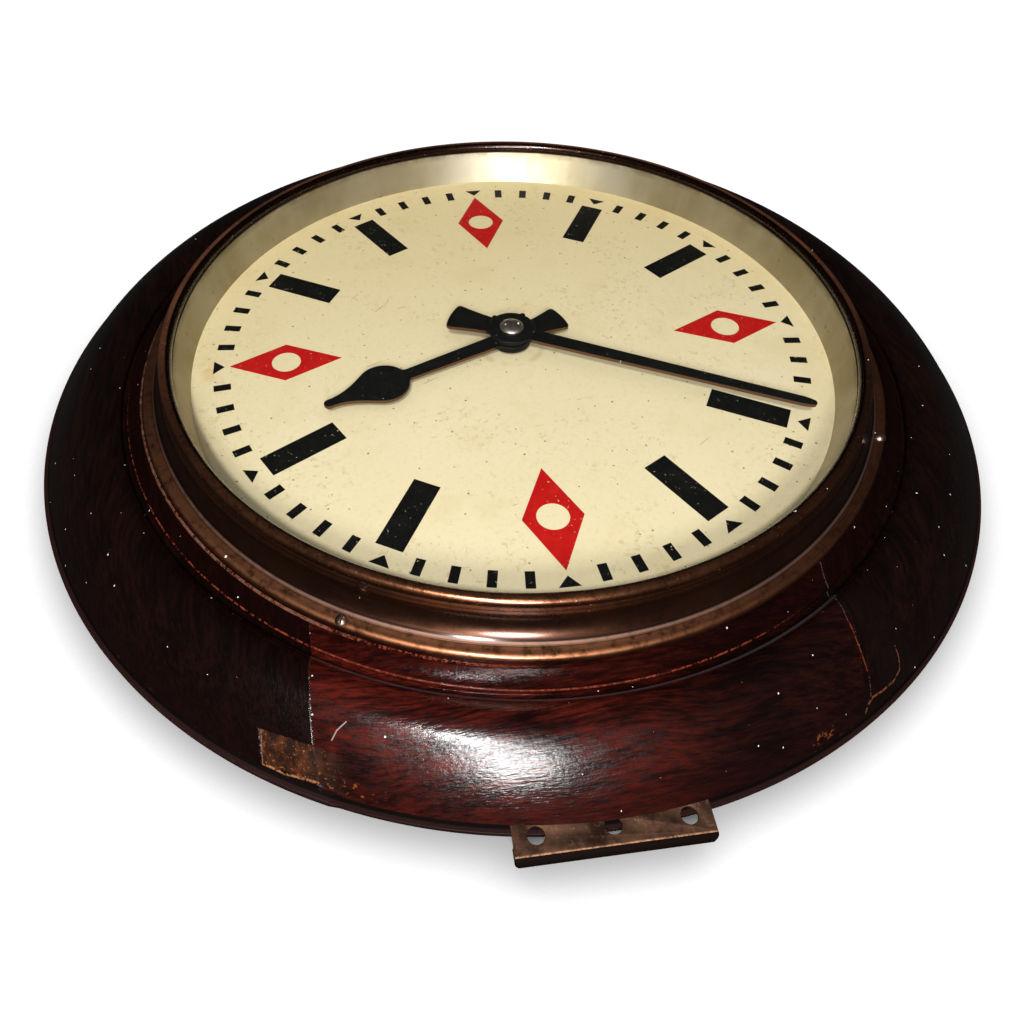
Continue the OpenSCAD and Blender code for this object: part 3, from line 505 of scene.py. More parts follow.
editAll(boardDisc)
selectFaces(boardDisc, thinStrip)
bpy.ops.transform.shrink_fatten(value=-board["thinBy"])
boardDisc = done(boardDisc)
fit(boardDisc, "case", "back_board")
print("board turned")


# bezel

# millimetres, as for the case
bezelBrass = {
    "bead": (155.9, 17.05), "beadRadius": 2.9, "groove": 0.45, "lip": 153.0,
    "coveTop": (158.7, 14.6), "coveLow": (165.6, 4.0), "sheet": 1.5,
    "flangeIn": 165.4, "flangeTop": 3.3, "edge": 170.9, "edgeRound": 2.5,
}


def bezelOutline():
    b = bezelBrass
    dx = b["coveLow"][0] - b["coveTop"][0]
    dy = b["coveTop"][1] - b["coveLow"][1]
    coveRadius = (dx * dx + dy * dy) / (2 * dx)
    cove = (b["coveTop"][0] + coveRadius, b["coveTop"][1])
    last = 360 + math.degrees(math.atan2(b["coveLow"][1] - cove[1], b["coveLow"][0] - cove[0]))
    flange = (b["edge"] - b["edgeRound"], b["flangeTop"] - b["edgeRound"])
    return (
        [(b["lip"], 16.9), (b["lip"], 17.05)]
        + arc(b["bead"], b["beadRadius"], 176, 127, 8)
        + [around(b["bead"], b["beadRadius"] - b["groove"], 122)]
        + arc(b["bead"], b["beadRadius"], 117, 4, 20)
        + arc(cove, coveRadius, 179, last, 18)
        + [(b["flangeIn"] + 0.1, 3.75), (b["flangeIn"] + 0.25, 3.45), (b["flangeIn"] + 0.6, b["flangeTop"])]
        + arc(flange, b["edgeRound"], 90, 0, 12)
        + [(b["edge"], 0.5), (164.4, 0.5), (164.4, 2.3)]
        + arc(cove, coveRadius + b["sheet"], last - 2, 187, 10)
        + [(156.8, 13.2), (156.8, 16.9)]
    )


bezelRing = turned("bezelRing", onDial(bezelOutline()), roundSteps, smooth=40)
fit(bezelRing, "case", "bezel")

sightRing = turned("sightRing", onDial([
    (150.0, 0.0), (150.05, 0.2), (153.2, 15.2), (154.0, 15.2), (151.1, 1.0), (155.4, 0.8), (155.4, 0.0),
]), roundSteps, smooth=40)
fit(sightRing, "case", "sight_ring")
print("bezel and sight ring turned")


# screws

def roundScrew(size, facing):
    # a slotted dome with its shank, standing on the origin and looking along -Y or +Y
    head, dome = size["head"], size["dome"]
    ball = (head * head + dome * dome) / (2 * dome)
    deselect()
    place = (0, -facing * (ball - dome), 0)
    bpy.ops.mesh.primitive_uv_sphere_add(segments=40, ring_count=48, radius=ball, location=place,
                                         rotation=(math.pi / 2, 0, 0))
    screw = bpy.context.object
    bpy.ops.object.transform_apply(location=True, rotation=True)
    editAll(screw)
    bpy.ops.mesh.bisect(plane_co=(0, 0, 0), plane_no=(0, facing, 0), clear_inner=True, use_fill=True)
    selectFaces(screw, lambda c, n: n.y * facing < -0.9)
    bpy.ops.mesh.inset(thickness=head * 0.45)
    bpy.ops.mesh.extrude_region_move(TRANSFORM_OT_translate={"value": (0, -facing * size["shank"], 0)})
    screw = done(screw)
    cut(screw, block((head * 2.4, dome * 1.1, size["slot"]), (0, facing * dome, 0)))
    soften(screw, head * 0.03, 2, 50)
    return screw


def setScrews(name, screw, places):
    # copies of one screw, each at a place and with its slot turned, joined to one piece
    copies = []
    for place, slotTurn in places:
        pick(screw)
        bpy.ops.object.duplicate()
        copy = bpy.context.object
        copy.location = place
        copy.rotation_euler = (0, slotTurn, 0)
        copies.append(done(copy, 40))
    bpy.data.objects.remove(screw)
    return joinAll(name, copies)


# the screw in metres, its place by millimetres from the axis and degrees from 12
bezelScrew = {
    "head": 0.00255, "dome": 0.0016, "slot": 0.0007, "shank": 0.009,
    "radius": 168.25, "first": 30,
}

places = []
for i in range(4):
    place = clockPoint(bezelScrew["first"] + 90 * i, bezelScrew["radius"], bezelBrass["flangeTop"])
    places.append((place, math.radians(25 + 40 * i)))
bezelHeads = setScrews("bezelHeads", roundScrew(bezelScrew, -1), places)
fit(bezelHeads, "case", "bezel_screws")
print("bezel screws made")


# hands

def turnedOutline(outline, angle):
    a = math.radians(angle)
    return [(x * math.cos(a) + y * math.sin(a), -x * math.sin(a) + y * math.cos(a)) for x, y in outline]


# millimetres; a tail has its length, its width at the hub and its width at the end
hourHand = {
    "angle": 247.5, "length": 96, "spadeAt": 67.2, "spade": 11.8, "neckAbove": 6.6, "tip": 4.6,
    "hub": 9.4, "tail": (29, 9, 16), "low": 3.4, "thick": 1.8, "hole": 5.5,
}
minuteHand = {
    "angle": 118, "length": 140, "tip": 3.4,
    "hub": 10, "tail": (31, 10, 17), "low": 6.6, "thick": 1.8, "hole": 4.0,
}


def tail(length, hub, end, hubRadius):
    # right side of the tail, from the hub down to the middle of its end
    swing = math.degrees(math.asin(end / 2 / length))
    start = math.sqrt(hubRadius ** 2 - (hub / 2) ** 2)
    side = [(hub / 2, -start)]
    for t in (0.35, 0.7):
        half = hub / 2 + (end / 2 - hub / 2) * t ** 1.15 - 0.1
        side.append((half, -start - (length - start - 2.2) * t))
    corner = -length * math.cos(math.radians(swing))
    side += [(end / 2 * 0.985, corner + 1.7), (end / 2 * 0.965, corner + 0.5)]
    for angle in (swing - 2.2, swing * 0.6, swing * 0.3):
        a = math.radians(angle)
        side.append((length * math.sin(a), -length * math.cos(a)))
    return side


def mirrored(side, top, bottom):
    # a full outline from its right half, which runs from top to bottom
    left = [(-x, y) for x, y in reversed(side)]
    return [top] + side + [bottom] + left


def hourOutline():
    h = hourHand
    tipY = h["length"] - h["tip"] / 2
    neckY = h["spadeAt"] + h["neckAbove"]
    side = arc((0, tipY), h["tip"] / 2, 75, 0, 6)
    for i in range(8, 0, -1):
        t = i / 9
        half = (h["spade"] - 2.2) * (1 - t) ** 1.7 + h["tip"] / 2 * t + 0.4 * (1 - t)
        side.append((half, neckY + t * (tipY - neckY)))
    side += arc((0, h["spadeAt"]), h["spade"], 30, -70, 22)
    side += [(3.25, h["spadeAt"] - 12.6), (3.7, 30), (4.1, 9.0)]
    side += arc((0, 0), h["hub"], 60, -58, 18)
    side += tail(*h["tail"], h["hub"])
    return mirrored(side, (0, h["length"]), (0, -h["tail"][0]))


def minuteOutline():
    m = minuteHand
    side = arc((0, m["length"] - m["tip"] / 2), m["tip"] / 2, 70, 20, 4)
    side += [(2.2, m["length"] - 3.4), (2.5, m["length"] - 6), (3.2, 75), (3.95, 9.7)]
    side += arc((0, 0), m["hub"], 62, -58, 18)
    side += tail(*m["tail"], m["hub"])
    return mirrored(side, (0, m["length"]), (0, -m["tail"][0]))


def makeHand(name, outline, hand):
    points = [(x / 1000, z / 1000) for x, z in turnedOutline(outline, hand["angle"])]
    low = dialFront - hand["low"] / 1000
    piece = slab(name, points, low, low - hand["thick"] / 1000)
    cut(piece, drill(hand["hole"] / 1000, (0, low, 0), 0.02))
    soften(piece, 0.00035, 3, 50)
    return done(piece, 35)


hourBlade = makeHand("hourBlade", hourOutline(), hourHand)
fit(hourBlade, "hour_work", "hour_hand")

minuteBlade = makeHand("minuteBlade", minuteOutline(), minuteHand)
fit(minuteBlade, "minute_work", "minute_hand")

hourCollet = turned("hourCollet", onDial([
    (4.0, 1.8), (9.1, 1.8), (9.4, 2.1), (9.4, 3.4), (5.5, 3.4), (5.5, 5.2), (5.2, 5.5), (4.0, 5.5),
]), 72)
fit(hourCollet, "hour_work", "hour_boss")

# the disc and the places of its two small lugs in millimetres, the lugs themselves in metres
minuteDisc = {
    "radius": 11.2, "lugAngle": 37, "lugIn": 0.1, "lugUp": 9.0,
    "lug": 0.0013, "lugTall": 0.0011, "lugRound": 0.0003,
}
edge = minuteDisc["radius"]
discParts = [turned("minuteCollet", onDial([
    (1.5, 9.6), (edge - 0.35, 9.6), (edge, 9.3), (edge, 8.65), (edge - 0.25, 8.4),
    (4.0, 8.4), (4.0, 6.2), (2.2, 6.2), (2.2, 8.35), (1.5, 8.35),
]), 96)]
for side in (-1, 1):
    place = clockPoint(side * minuteDisc["lugAngle"], edge - minuteDisc["lugIn"], minuteDisc["lugUp"])
    lug = drill(minuteDisc["lug"], place, minuteDisc["lugTall"])
    discParts.append(done(soften(lug, minuteDisc["lugRound"], 2, 50)))
minuteCollet = joinAll("minuteCollet", discParts)
fit(minuteCollet, "minute_work", "minute_boss")

# two small holes for a pin spanner, in metres
nutHole = {"radius": 0.00075, "at": 0.0031, "top": 0.0118, "deep": 0.0018}
nut = turned("domedNut", onDial([
    (1.5, 9.6), (5.3, 9.6), (5.6, 9.75), (5.6, 10.15), (5.35, 10.5), (4.7, 10.95), (3.8, 11.3),
    (2.6, 11.55), (1.3, 11.68), (0.0, 11.7), (0.0, 10.8), (1.5, 10.8),
]), 72, smooth=60)
for side in (-1, 1):
    place = (side * nutHole["at"], dialFront - nutHole["top"], 0)
    cut(nut, drill(nutHole["radius"], place, nutHole["deep"]))
nut = done(nut, 40)
fit(nut, "minute_work", "hand_nut")
print("hands made")


# lower bracket

# metres: a flat sheet whose lower edge is folded round behind it
bracket = {
    "width": 0.068, "front": -0.0147, "thick": 0.0012, "top": -0.1993, "corner": 0.002,
    "fold": -0.2273, "bend": 0.0028, "legTop": -0.2234,
    "pitch": 0.026, "holeAt": -0.2213, "hole": 0.003, "through": 0.006,
}


def bracketOutline():
    b = bracket
    middle = b["front"] + b["bend"]
    back = middle + b["bend"]
    return (
        [(b["front"], b["top"])]
        + arc((middle, b["fold"]), b["bend"], 180, 360, 16)
        + [(back, b["legTop"]), (back - b["thick"], b["legTop"])]
        + arc((middle, b["fold"]), b["bend"] - b["thick"], 360, 180, 16)
        + [(b["front"] + b["thick"], b["top"])]
    )


bracketPiece = trace("bracketPiece", [(-bracket["width"] / 2, y, z) for y, z in bracketOutline()])
editAll(bracketPiece)
bpy.ops.mesh.edge_face_add()
bpy.ops.mesh.extrude_region_move(TRANSFORM_OT_translate={"value": (bracket["width"], 0, 0)})
tidyMesh()
bracketPiece = done(bracketPiece)

# the two lower corners are rounded off
bracketBottom = bracket["fold"] - bracket["bend"]
for side in (-1, 1):
    r = bracket["corner"]
    x = side * (bracket["width"] / 2 - r)
    size = r + 0.001
    corner = block((size, 0.01, size), (x + side * size / 2, -0.012, bracketBottom + r - size / 2))
    cut(corner, drill(r, (x, -0.012, bracketBottom + r), 0.02))
    cut(bracketPiece, corner)
for i in (-1, 0, 1):
    place = (i * bracket["pitch"], bracket["front"], bracket["holeAt"])
    cut(bracketPiece, drill(bracket["hole"], place, bracket["through"]))
soften(bracketPiece, 0.0002, 2, 50)
bracketPiece = done(bracketPiece, 35)
fit(bracketPiece, "case", "lower_bracket")
print("bracket bent")


# rear cover and its grommet

# metres; the pan's floor, the middle of its flange and the flange's face are places on y
cover = {
    "floor": -0.0017, "flange": -0.009, "flangeFace": -0.0085, "through": 0.004,
    "grommetAt": 0.062, "hole": 0.006, "screwsAt": 0.1055, "screwHole": 0.0017,
}


def fromWall(outline):
    # millimetres from the axis and from the wall, to metres and y
    return [(r / 1000, -d / 1000) for r, d in outline]


rearPan = turned("rearPan", fromWall(
    [(0.0, 1.2), (83.4, 1.2), (84.0, 1.0), (84.3, 0.3), (85.0, 0.0), (89.0, 0.0), (89.7, 0.3)]
    + [(90.0, 1.0), (90.6, 1.2), (99.5, 1.2), (100.5, 1.6), (101.0, 2.6), (101.0, 8.0), (101.4, 8.4)]
    + [(102.0, 8.5), (109.6, 8.5), (110.0, 8.8), (110.0, 9.5)]
    + [(100.0, 9.5), (100.0, 3.0), (99.4, 2.2), (0.0, 2.2)]
), 180, smooth=40)
cut(rearPan, drill(cover["hole"], (0, cover["floor"], cover["grommetAt"]), cover["through"]))


def coverPlace(i, y):
    a = math.radians(45 + 90 * i)
    return (cover["screwsAt"] * math.sin(a), y, cover["screwsAt"] * math.cos(a))


for i in range(4):
    cut(rearPan, drill(cover["screwHole"], coverPlace(i, cover["flange"]), cover["through"]))
rearPan = done(rearPan, 35)
fit(rearPan, "case", "rear_cover")

inlet = turned("inletGrommet", fromWall([
    (4.0, 0.5), (4.4, 0.2), (8.0, 0.2), (8.5, 0.6), (8.5, 1.2), (6.0, 1.2), (6.0, 2.2),
    (8.5, 2.2), (8.5, 3.0), (8.1, 3.4), (4.4, 3.4), (4.0, 3.1),
]), 64, centre=(0, 0, cover["grommetAt"]))
fit(inlet, "case", "cable_grommet")

coverScrew = {"head": 0.0029, "dome": 0.0018, "slot": 0.0008, "shank": 0.003}

places = [(coverPlace(i, cover["flangeFace"]), 0.4 + 0.7 * i) for i in range(4)]
coverHeads = setScrews("coverHeads", roundScrew(coverScrew, 1), places)
fit(coverHeads, "case", "cover_screws")
print("rear cover pressed")


# hanger

# metres; the plate stands off the board on two feet
hanger = {
    "at": 0.1807, "half": 0.022, "foot": 0.014, "tall": 0.034, "sheet": 0.0015,
    "board": -0.0095, "out": -0.0008, "screwsAt": 0.029, "screwHole": 0.0019,
    "slot": 0.0055, "slotDrop": 0.006, "slotTall": 0.014, "through": 0.006,
}


def hangerOutline():
    h = hanger
    t = h["sheet"]
    foot = h["half"] + h["foot"]
    right = [
        (h["half"] - t, h["out"] - t), (h["half"] - t, h["board"]), (foot, h["board"]),
        (foot, h["board"] + t), (h["half"], h["board"] + t), (h["half"], h["out"]),
    ]
    return right + [(-x, y) for x, y in reversed(right)]


hangerPiece = trace("hangerPiece", [(x, y, hanger["at"] - hanger["tall"] / 2) for x, y in hangerOutline()])
editAll(hangerPiece)
bpy.ops.mesh.edge_face_add()
bpy.ops.mesh.extrude_region_move(TRANSFORM_OT_translate={"value": (0, 0, hanger["tall"])})
tidyMesh()
hangerPiece = done(hangerPiece)

# the keyhole is a round hole with a slot up from it, and the slot's end is round
wide, tall, through = hanger["slot"], hanger["slotTall"], hanger["through"]
slotLow = hanger["at"] - hanger["slotDrop"]
cut(hangerPiece, drill(wide, (0, hanger["out"], slotLow), through))
cut(hangerPiece, block((wide, through, tall), (0, hanger["out"], slotLow + tall / 2)))
cut(hangerPiece, drill(wide / 2, (0, hanger["out"], slotLow + tall), through))
for side in (-1, 1):
    place = (side * hanger["screwsAt"], hanger["board"], hanger["at"])
    cut(hangerPiece, drill(hanger["screwHole"], place, through))
soften(hangerPiece, 0.0003, 2, 50)
hangerPiece = done(hangerPiece, 35)
fit(hangerPiece, "case", "hanger_plate")

hangerScrew = {"head": 0.0034, "dome": 0.002, "slot": 0.0009, "shank": 0.004}

places = []
for side in (-1, 1):
    place = (side * hanger["screwsAt"], hanger["board"] + hanger["sheet"], hanger["at"])
    places.append((place, 0.6 * side))
hangerHeads = setScrews("hangerHeads", roundScrew(hangerScrew, 1), places)
fit(hangerHeads, "case", "hanger_screws")
print("hanger made")


# lacquered veneer

# lines on the case, each as its points in metres and its width
veneerMarks = {
    "seam": ([(-0.0964, -0.1560), (-0.0962, -0.1700), (-0.0966, -0.1850)], 0.0004),
    "hair": ([(0.0961, -0.1415), (0.0975, -0.1500), (0.0971, -0.1576), (0.0966, -0.1663)], 0.0003),
    "crack": ([(0.0966, -0.1663), (0.0977, -0.1735), (0.0996, -0.1797), (0.1014, -0.1850)], 0.0004),
    "crackLow": ([(0.1014, -0.1850), (0.1018, -0.1900), (0.0991, -0.1948)], 0.0003),
    "flakeTop": ([(0.1154, -0.1744), (0.1169, -0.1777), (0.1170, -0.1813), (0.1137, -0.1848)], 0.0003),
    "flakeLow": ([(0.1137, -0.1848), (0.1077, -0.1881), (0.1026, -0.1903), (0.1007, -0.1922),
                  (0.0991, -0.1948)], 0.0004),
    "scratch": ([(-0.0900, -0.1855), (-0.0880, -0.1832), (-0.0846, -0.1814)], 0.0003),
    "patchLow": ([(-0.1155, -0.1860), (-0.1080, -0.1905), (-0.0965, -0.1955)], 0.0005),
    "patchSide": ([(-0.1157, -0.1858), (-0.1146, -0.1768)], 0.0003),
}


def veneerGrain(f, lower):
    # the grain lies across the sheets at 12 and 6 o'clock and stands in the two between
    upper = f.times(f.band(f.x, -0.097, 0.097, 0.0004), f.step(f.z, 0.1, 0.12))
    drift = f.times(f.less(f.noise(f.at, 9.0, 2.0), 0.5), 0.03)
    lying = f.join(f.times(f.x, 0.13), f.y, f.plus(f.z, drift))
    standing = f.join(f.plus(f.x, drift), f.y, f.times(f.z, 0.085))
    return f.add("Mix", {0: f.most(lower, upper), 4: standing, 5: lying}, 1, data_type="VECTOR")


def veneerTone(f, grain, lower, poreMask):
    fineFigure = f.times(f.noise(grain, 620.0, 4.0, 0.62), 0.6)
    wideFigure = f.times(f.noise(grain, 150.0, 3.0, 0.6), 0.4)
    figure = f.plus(fineFigure, wideFigure)
    red = f.mix(f.step(figure, 0.38, 0.64), (0.011, 0.0015, 0.0010), (0.082, 0.0080, 0.0044))
    dark = f.mix(f.step(figure, 0.40, 0.64), (0.0024, 0.0009, 0.0007), (0.0088, 0.0023, 0.0015))
    shade = f.less(1.0, f.times(f.step(f.x, -0.020, 0.060), 0.92))
    cloud = f.noise(f.at, 24.0, 3.0, 0.55)
    tone = f.mix(f.times(lower, f.step(cloud, 0.16, 0.52), shade), dark, red)
    tone = f.over(tone, (0.0030, 0.0009, 0.0008), poreMask, 0.62)
    # painted shade: the veneer is painted darker towards the outer foot and on the neck
    footAndNeckShade = f.most(f.step(f.radius, 0.2065, 0.2175), f.step(f.radius, 0.1800, 0.1790))
    return f.over(tone, (0.0045, 0.0011, 0.0009), footAndNeckShade, 0.5)


def bareMask(f):
    # a ragged four-sided place at the lower left, where a piece of veneer is gone
    jitter = f.times(f.less(f.noise(f.at, 320.0, 3.0, 0.6), 0.5), 0.0016)
    px = f.plus(f.x, jitter)
    pz = f.plus(f.z, jitter)
    top = f.plus(pz, f.times(px, 0.50), 0.2340)
    low = f.plus(pz, f.times(px, 0.545), 0.2488)
    between = f.times(f.step(top, 0.0002, -0.0002), f.step(low, -0.0002, 0.0002))
    return f.times(between, f.step(px, -0.1158, -0.1152), f.step(px, -0.084, -0.101))


def bareWood(f, tone, grain, bare):
    wood = f.step(f.noise(grain, 260.0, 4.0, 0.65), 0.40, 0.68)
    bareTone = f.mix(wood, (0.013, 0.0036, 0.0016), (0.062, 0.0165, 0.0045))
    bareTone = f.over(bareTone, (0.30, 0.095, 0.022), f.spots(760.0, 0.60, 0.68), 0.7)
    tone = f.mix(bare, tone, bareTone)
    side = f.times(f.line(*veneerMarks["patchSide"]), 0.6)
    lip = f.most(f.line(*veneerMarks["patchLow"]), side)
    tone = f.over(tone, (0.30, 0.13, 0.055), lip, f.spots(900.0, 0.38, 0.56, 2.0, 0.5), 0.85)
    below = f.step(f.z, 0, -0.01)
    flecks = f.times(f.band(f.radius, 0.2155, 0.2185, 0.0006), f.spots(520.0, 0.60, 0.64),
                     f.band(f.x, -0.094, -0.074, 0.002), below)
    blotch = f.times(f.band(f.radius, 0.2160, 0.2180, 0.0008), f.spots(560.0, 0.50, 0.56),
                     f.band(f.x, 0.0755, 0.0835, 0.0012), below)
    return f.over(tone, (0.26, 0.070, 0.02), f.most(flecks, blotch), 0.6)


def veneerFlaws(f, tone, seam, crack, hair):
    flake = f.most(f.line(*veneerMarks["flakeTop"]), f.line(*veneerMarks["flakeLow"]))
    crackLow = f.line(*veneerMarks["crackLow"])
    broken = f.spots(700.0, 0.36, 0.50, 2.0, 0.5)
    dull = f.times(f.step(f.plus(f.x, f.times(f.z, 0.42)), 0.0285, 0.0292),
                   f.step(f.plus(f.x, f.times(f.z, 0.72)), -0.0010, -0.0040),
                   f.step(f.z, -0.1870, -0.1860), f.step(f.z, -0.1480, -0.1520))
    tone = f.over(tone, (0.0038, 0.0024, 0.0022), dull, 0.45)
    tone = f.over(tone, (0.15, 0.022, 0.010), crack, broken, 0.8)
    tone = f.over(tone, (0.17, 0.055, 0.024), flake, broken, 0.7)
    tone = f.over(tone, (0.07, 0.050, 0.045), f.most(hair, crackLow), broken, 0.6)
    tone = f.over(tone, (0.030, 0.015, 0.012), seam, broken, 0.6)
    glint = f.times(seam, f.spots(1100.0, 0.62, 0.68, 2.0, 0.5), f.step(f.z, -0.163, -0.168))
    tone = f.over(tone, (0.50, 0.38, 0.35), glint, 0.7)
    return f.over(tone, (0.45, 0.38, 0.34), f.line(*veneerMarks["scratch"]), 0.55)


def wornEdgesAndSheen(f, tone, lower):
    # the lacquer is worn on the two sharp edges round the neck and at the foot; the pale ledge line on the
    # left is also a painted highlight, and a painted sheen lies below the groove
    chips = f.spots(640.0, 0.46, 0.58, 4.0)
    below = f.step(f.z, 0.02, -0.10)
    rim = f.times(f.belt(0.1788, 0.1793, 0.00012, -0.0046, -0.0042), below)
    thread = f.times(lower, f.step(f.x, 0.05, -0.01), 0.35)
    rimWorn = f.most(thread, f.times(chips, f.step(f.x, 0.09, 0.04)))
    tone = f.over(tone, (0.22, 0.042, 0.022), rim, rimWorn, 0.8)
    ledge = f.belt(0.1714, 0.1724, 0.0001, -0.0008, -0.0002)
    tone = f.over(tone, (0.22, 0.050, 0.026), ledge, chips, below, f.step(f.x, -0.015, -0.045), 0.75)
    # partly painted highlight: the pale line along the ledge edge on the left is worn lacquer and a painted
    # highlight
    left = f.times(ledge, f.step(f.x, -0.075, -0.100), f.step(f.z, 0.085, 0.045))
    tone = f.over(tone, (0.13, 0.066, 0.042), left, f.spots(380.0, 0.38, 0.58, 4.0, 0.75), 0.8)
    # painted sheen: a pale grey line on the shoulder just below the groove
    grooveSheen = f.times(f.belt(0.1825, 0.1834, 0.0006, -0.0056, -0.0046), f.step(f.z, -0.14, -0.17), lower)
    tone = f.over(tone, (0.12, 0.100, 0.108), grooveSheen, 0.40)
    foot = f.band(f.radius, 0.2190, 0.2199, 0.0003)
    return f.over(tone, (0.06, 0.020, 0.010), foot, f.spots(300.0, 0.60, 0.68), 0.2)


def lacquer():
    f = Finish("lacqueredVeneer").place()
    lower = f.times(f.band(f.x, -0.0963, 0.0985, 0.0002), f.step(f.z, -0.1, -0.12))  # the red sheet
    grain = veneerGrain(f, lower)
    pores = f.noise(grain, 1500.0, 2.0, 0.55)
    poreMask = f.step(pores, 0.46, 0.64)
    bare = bareMask(f)
    seam, crack, hair = [f.line(*veneerMarks[name]) for name in ("seam", "crack", "hair")]
    tone = veneerTone(f, grain, lower, poreMask)
    tone = bareWood(f, tone, grain, bare)
    tone = veneerFlaws(f, tone, seam, crack, hair)
    tone = wornEdgesAndSheen(f, tone, lower)
    f.set("base", f.over(tone, (0.70, 0.64, 0.60), f.dust(0.0125, 0.00034, 0.42, 1.0)))

    bulge = f.step(f.radius, 0.1800, 0.1820)
    shine = f.plus(f.times(bulge, 0.44), 0.05)
    f.set("specular", f.times(shine, f.less(1.0, f.times(bare, 0.75))))
    rough = f.plus(f.times(f.noise(f.at, 60.0, 4.0, 0.6), 0.10), f.times(bulge, 0.05), 0.085)
    f.set("rough", f.plus(rough, f.times(poreMask, 0.08), f.times(bare, 0.35)))
    relief = f.bump(pores, 0.00012, 0.8)
    ripple = f.bump(f.noise(f.at, 640.0, 3.0, 0.6), 0.00012, 0.5, relief)
    whole = f.less(1.0, f.most(seam, crack, hair, f.times(bare, 0.6)))
    f.set("bump", f.bump(whole, 0.0002, 0.6, ripple))
    return f


lacquer().give(caseBody)


def boardFinish():
    f = Finish("darkBoard", specular=0.12).place()
    along = f.join(f.times(f.x, 0.08), f.y, f.z)
    grain = f.noise(along, 210.0, 4.0, 0.6)
    stain = f.noise(f.at, 14.0, 3.0)
    tone = f.mix(f.step(grain, 0.3, 0.7), (0.018, 0.008, 0.0065), (0.050, 0.024, 0.019))
    tone = f.over(tone, (0.020, 0.010, 0.009), f.step(stain, 0.5, 0.7), 0.5)
    painted = f.most(f.step(f.radius, 0.2135, 0.2145), f.step(f.y, -0.0131, -0.0134))
    # painted shade: the board's face next to the case's foot is painted near black, as the dark gap between
    # case and board
    strip = f.mix(f.step(f.radius, 0.2204, 0.2210), (0.0022, 0.0010, 0.0010), (0.0150, 0.0050, 0.0042))
    tone = f.mix(painted, tone, strip)
    rim = f.times(f.step(f.radius, 0.2215, 0.2222), f.spots(240.0, 0.58, 0.68))
    tone = f.over(tone, (0.040, 0.017, 0.013), rim, 0.25)
    f.set("base", tone)
    f.set("rough", f.plus(f.times(grain, 0.2), 0.34))
    f.set("bump", f.bump(grain, 0.00012, 0.5))
    return f


boardFinish().give(boardDisc)


# bronzed brass

def bronzedRing():
    f = Finish("bronzedBrass", specular=0.35, coat=0.55, coatRough=0.13).place()
    lines = f.noise(f.ring(9.0, 1400.0), 1.0, 3.0, 0.55)
    cloud = f.noise(f.at, 30.0, 4.0, 0.6)
    fine = f.noise(f.at, 300.0, 4.0, 0.65)
    tone = f.mix(f.step(cloud, 0.35, 0.68), (0.060, 0.019, 0.009), (0.140, 0.046, 0.020))
    tone = f.over(tone, (0.19, 0.070, 0.032), f.step(lines, 0.45, 0.7), 0.35)
    cove = f.belt(0.1585, 0.1651, 0.0004, 0.0032, 0.0040)
    tone = f.over(tone, (0.040, 0.0165, 0.0095), cove, 0.7)
    # painted shade: the lower corner of the cove is painted near black, which also dims the lamp's
    # reflection there
    corner = f.times(cove, f.step(f.radius, 0.1632, 0.1642))
    tone = f.over(tone, (0.0060, 0.0030, 0.0022), corner, 0.8)
    below = f.step(f.z, 0.02, -0.13)
    bead = f.belt(0.1552, 0.1580, 0.0007, 0.0172, 0.0190)
    flange = f.belt(0.1660, 0.1704, 0.0006, 0.0052, 0.0036)
    brow = f.belt(0.1648, 0.1658, 0.0003, 0.0056, 0.0044)
    wearAndLight = f.most(f.times(bead, 0.5), f.times(flange, 0.85), f.times(brow, 0.6))
    # painted light: the worn copper is painted strongest low on the left, where the light falls, and faint
    # at the top; the wear itself is real
    litSide = f.times(below, f.step(f.x, 0.10, -0.01), 0.72)
    wearAndLight = f.times(wearAndLight, f.step(fine, 0.26, 0.56), f.plus(litSide, 0.16))
    tone = f.over(tone, (0.42, 0.170, 0.078), wearAndLight)
    tone = f.over(tone, (0.26, 0.175, 0.145), brow, below, 0.5)
    # painted shade: the bead's inner side next to the dial is painted near black, as a dark line between
    # dial and bezel
    mouthShade = f.times(f.step(f.radius, 0.15515, 0.15455), f.step(f.height, 0.0150, 0.0165))
    tone = f.over(tone, (0.010, 0.0055, 0.0045), mouthShade, 0.85)
    chips = f.times(f.spots(620.0, 0.66, 0.69), f.step(f.height, 0.0150, 0.0168))
    tone = f.over(tone, (0.55, 0.26, 0.14), chips, 0.8)
    specks = f.dust(0.016, 0.0005, 0.25, 1.0)
    tone = f.over(tone, (0.7, 0.66, 0.6), specks)
    f.set("base", tone)
    upperBead = f.times(f.band(f.radius, 0.1550, 0.1588, 0.0004), f.step(f.z, -0.06, 0.04))
    f.set("metal", f.less(0.92, f.most(f.times(specks, 0.9), f.times(upperBead, 0.5))))
    rough = f.plus(f.times(fine, 0.14), f.times(lines, 0.10), 0.16)
    f.set("rough", f.plus(rough, f.most(f.times(flange, 0.16), f.times(brow, 0.3), f.times(corner, 0.2))))
    grime = f.bump(f.noise(f.at, 260.0, 4.0, 0.65), 0.00012, f.plus(f.times(bead, 0.7), 0.25))
    f.set("bump", f.bump(lines, 0.00005, f.less(0.5, f.times(cove, 0.3)), grime))
    return f


bronzedRing().give(bezelRing)


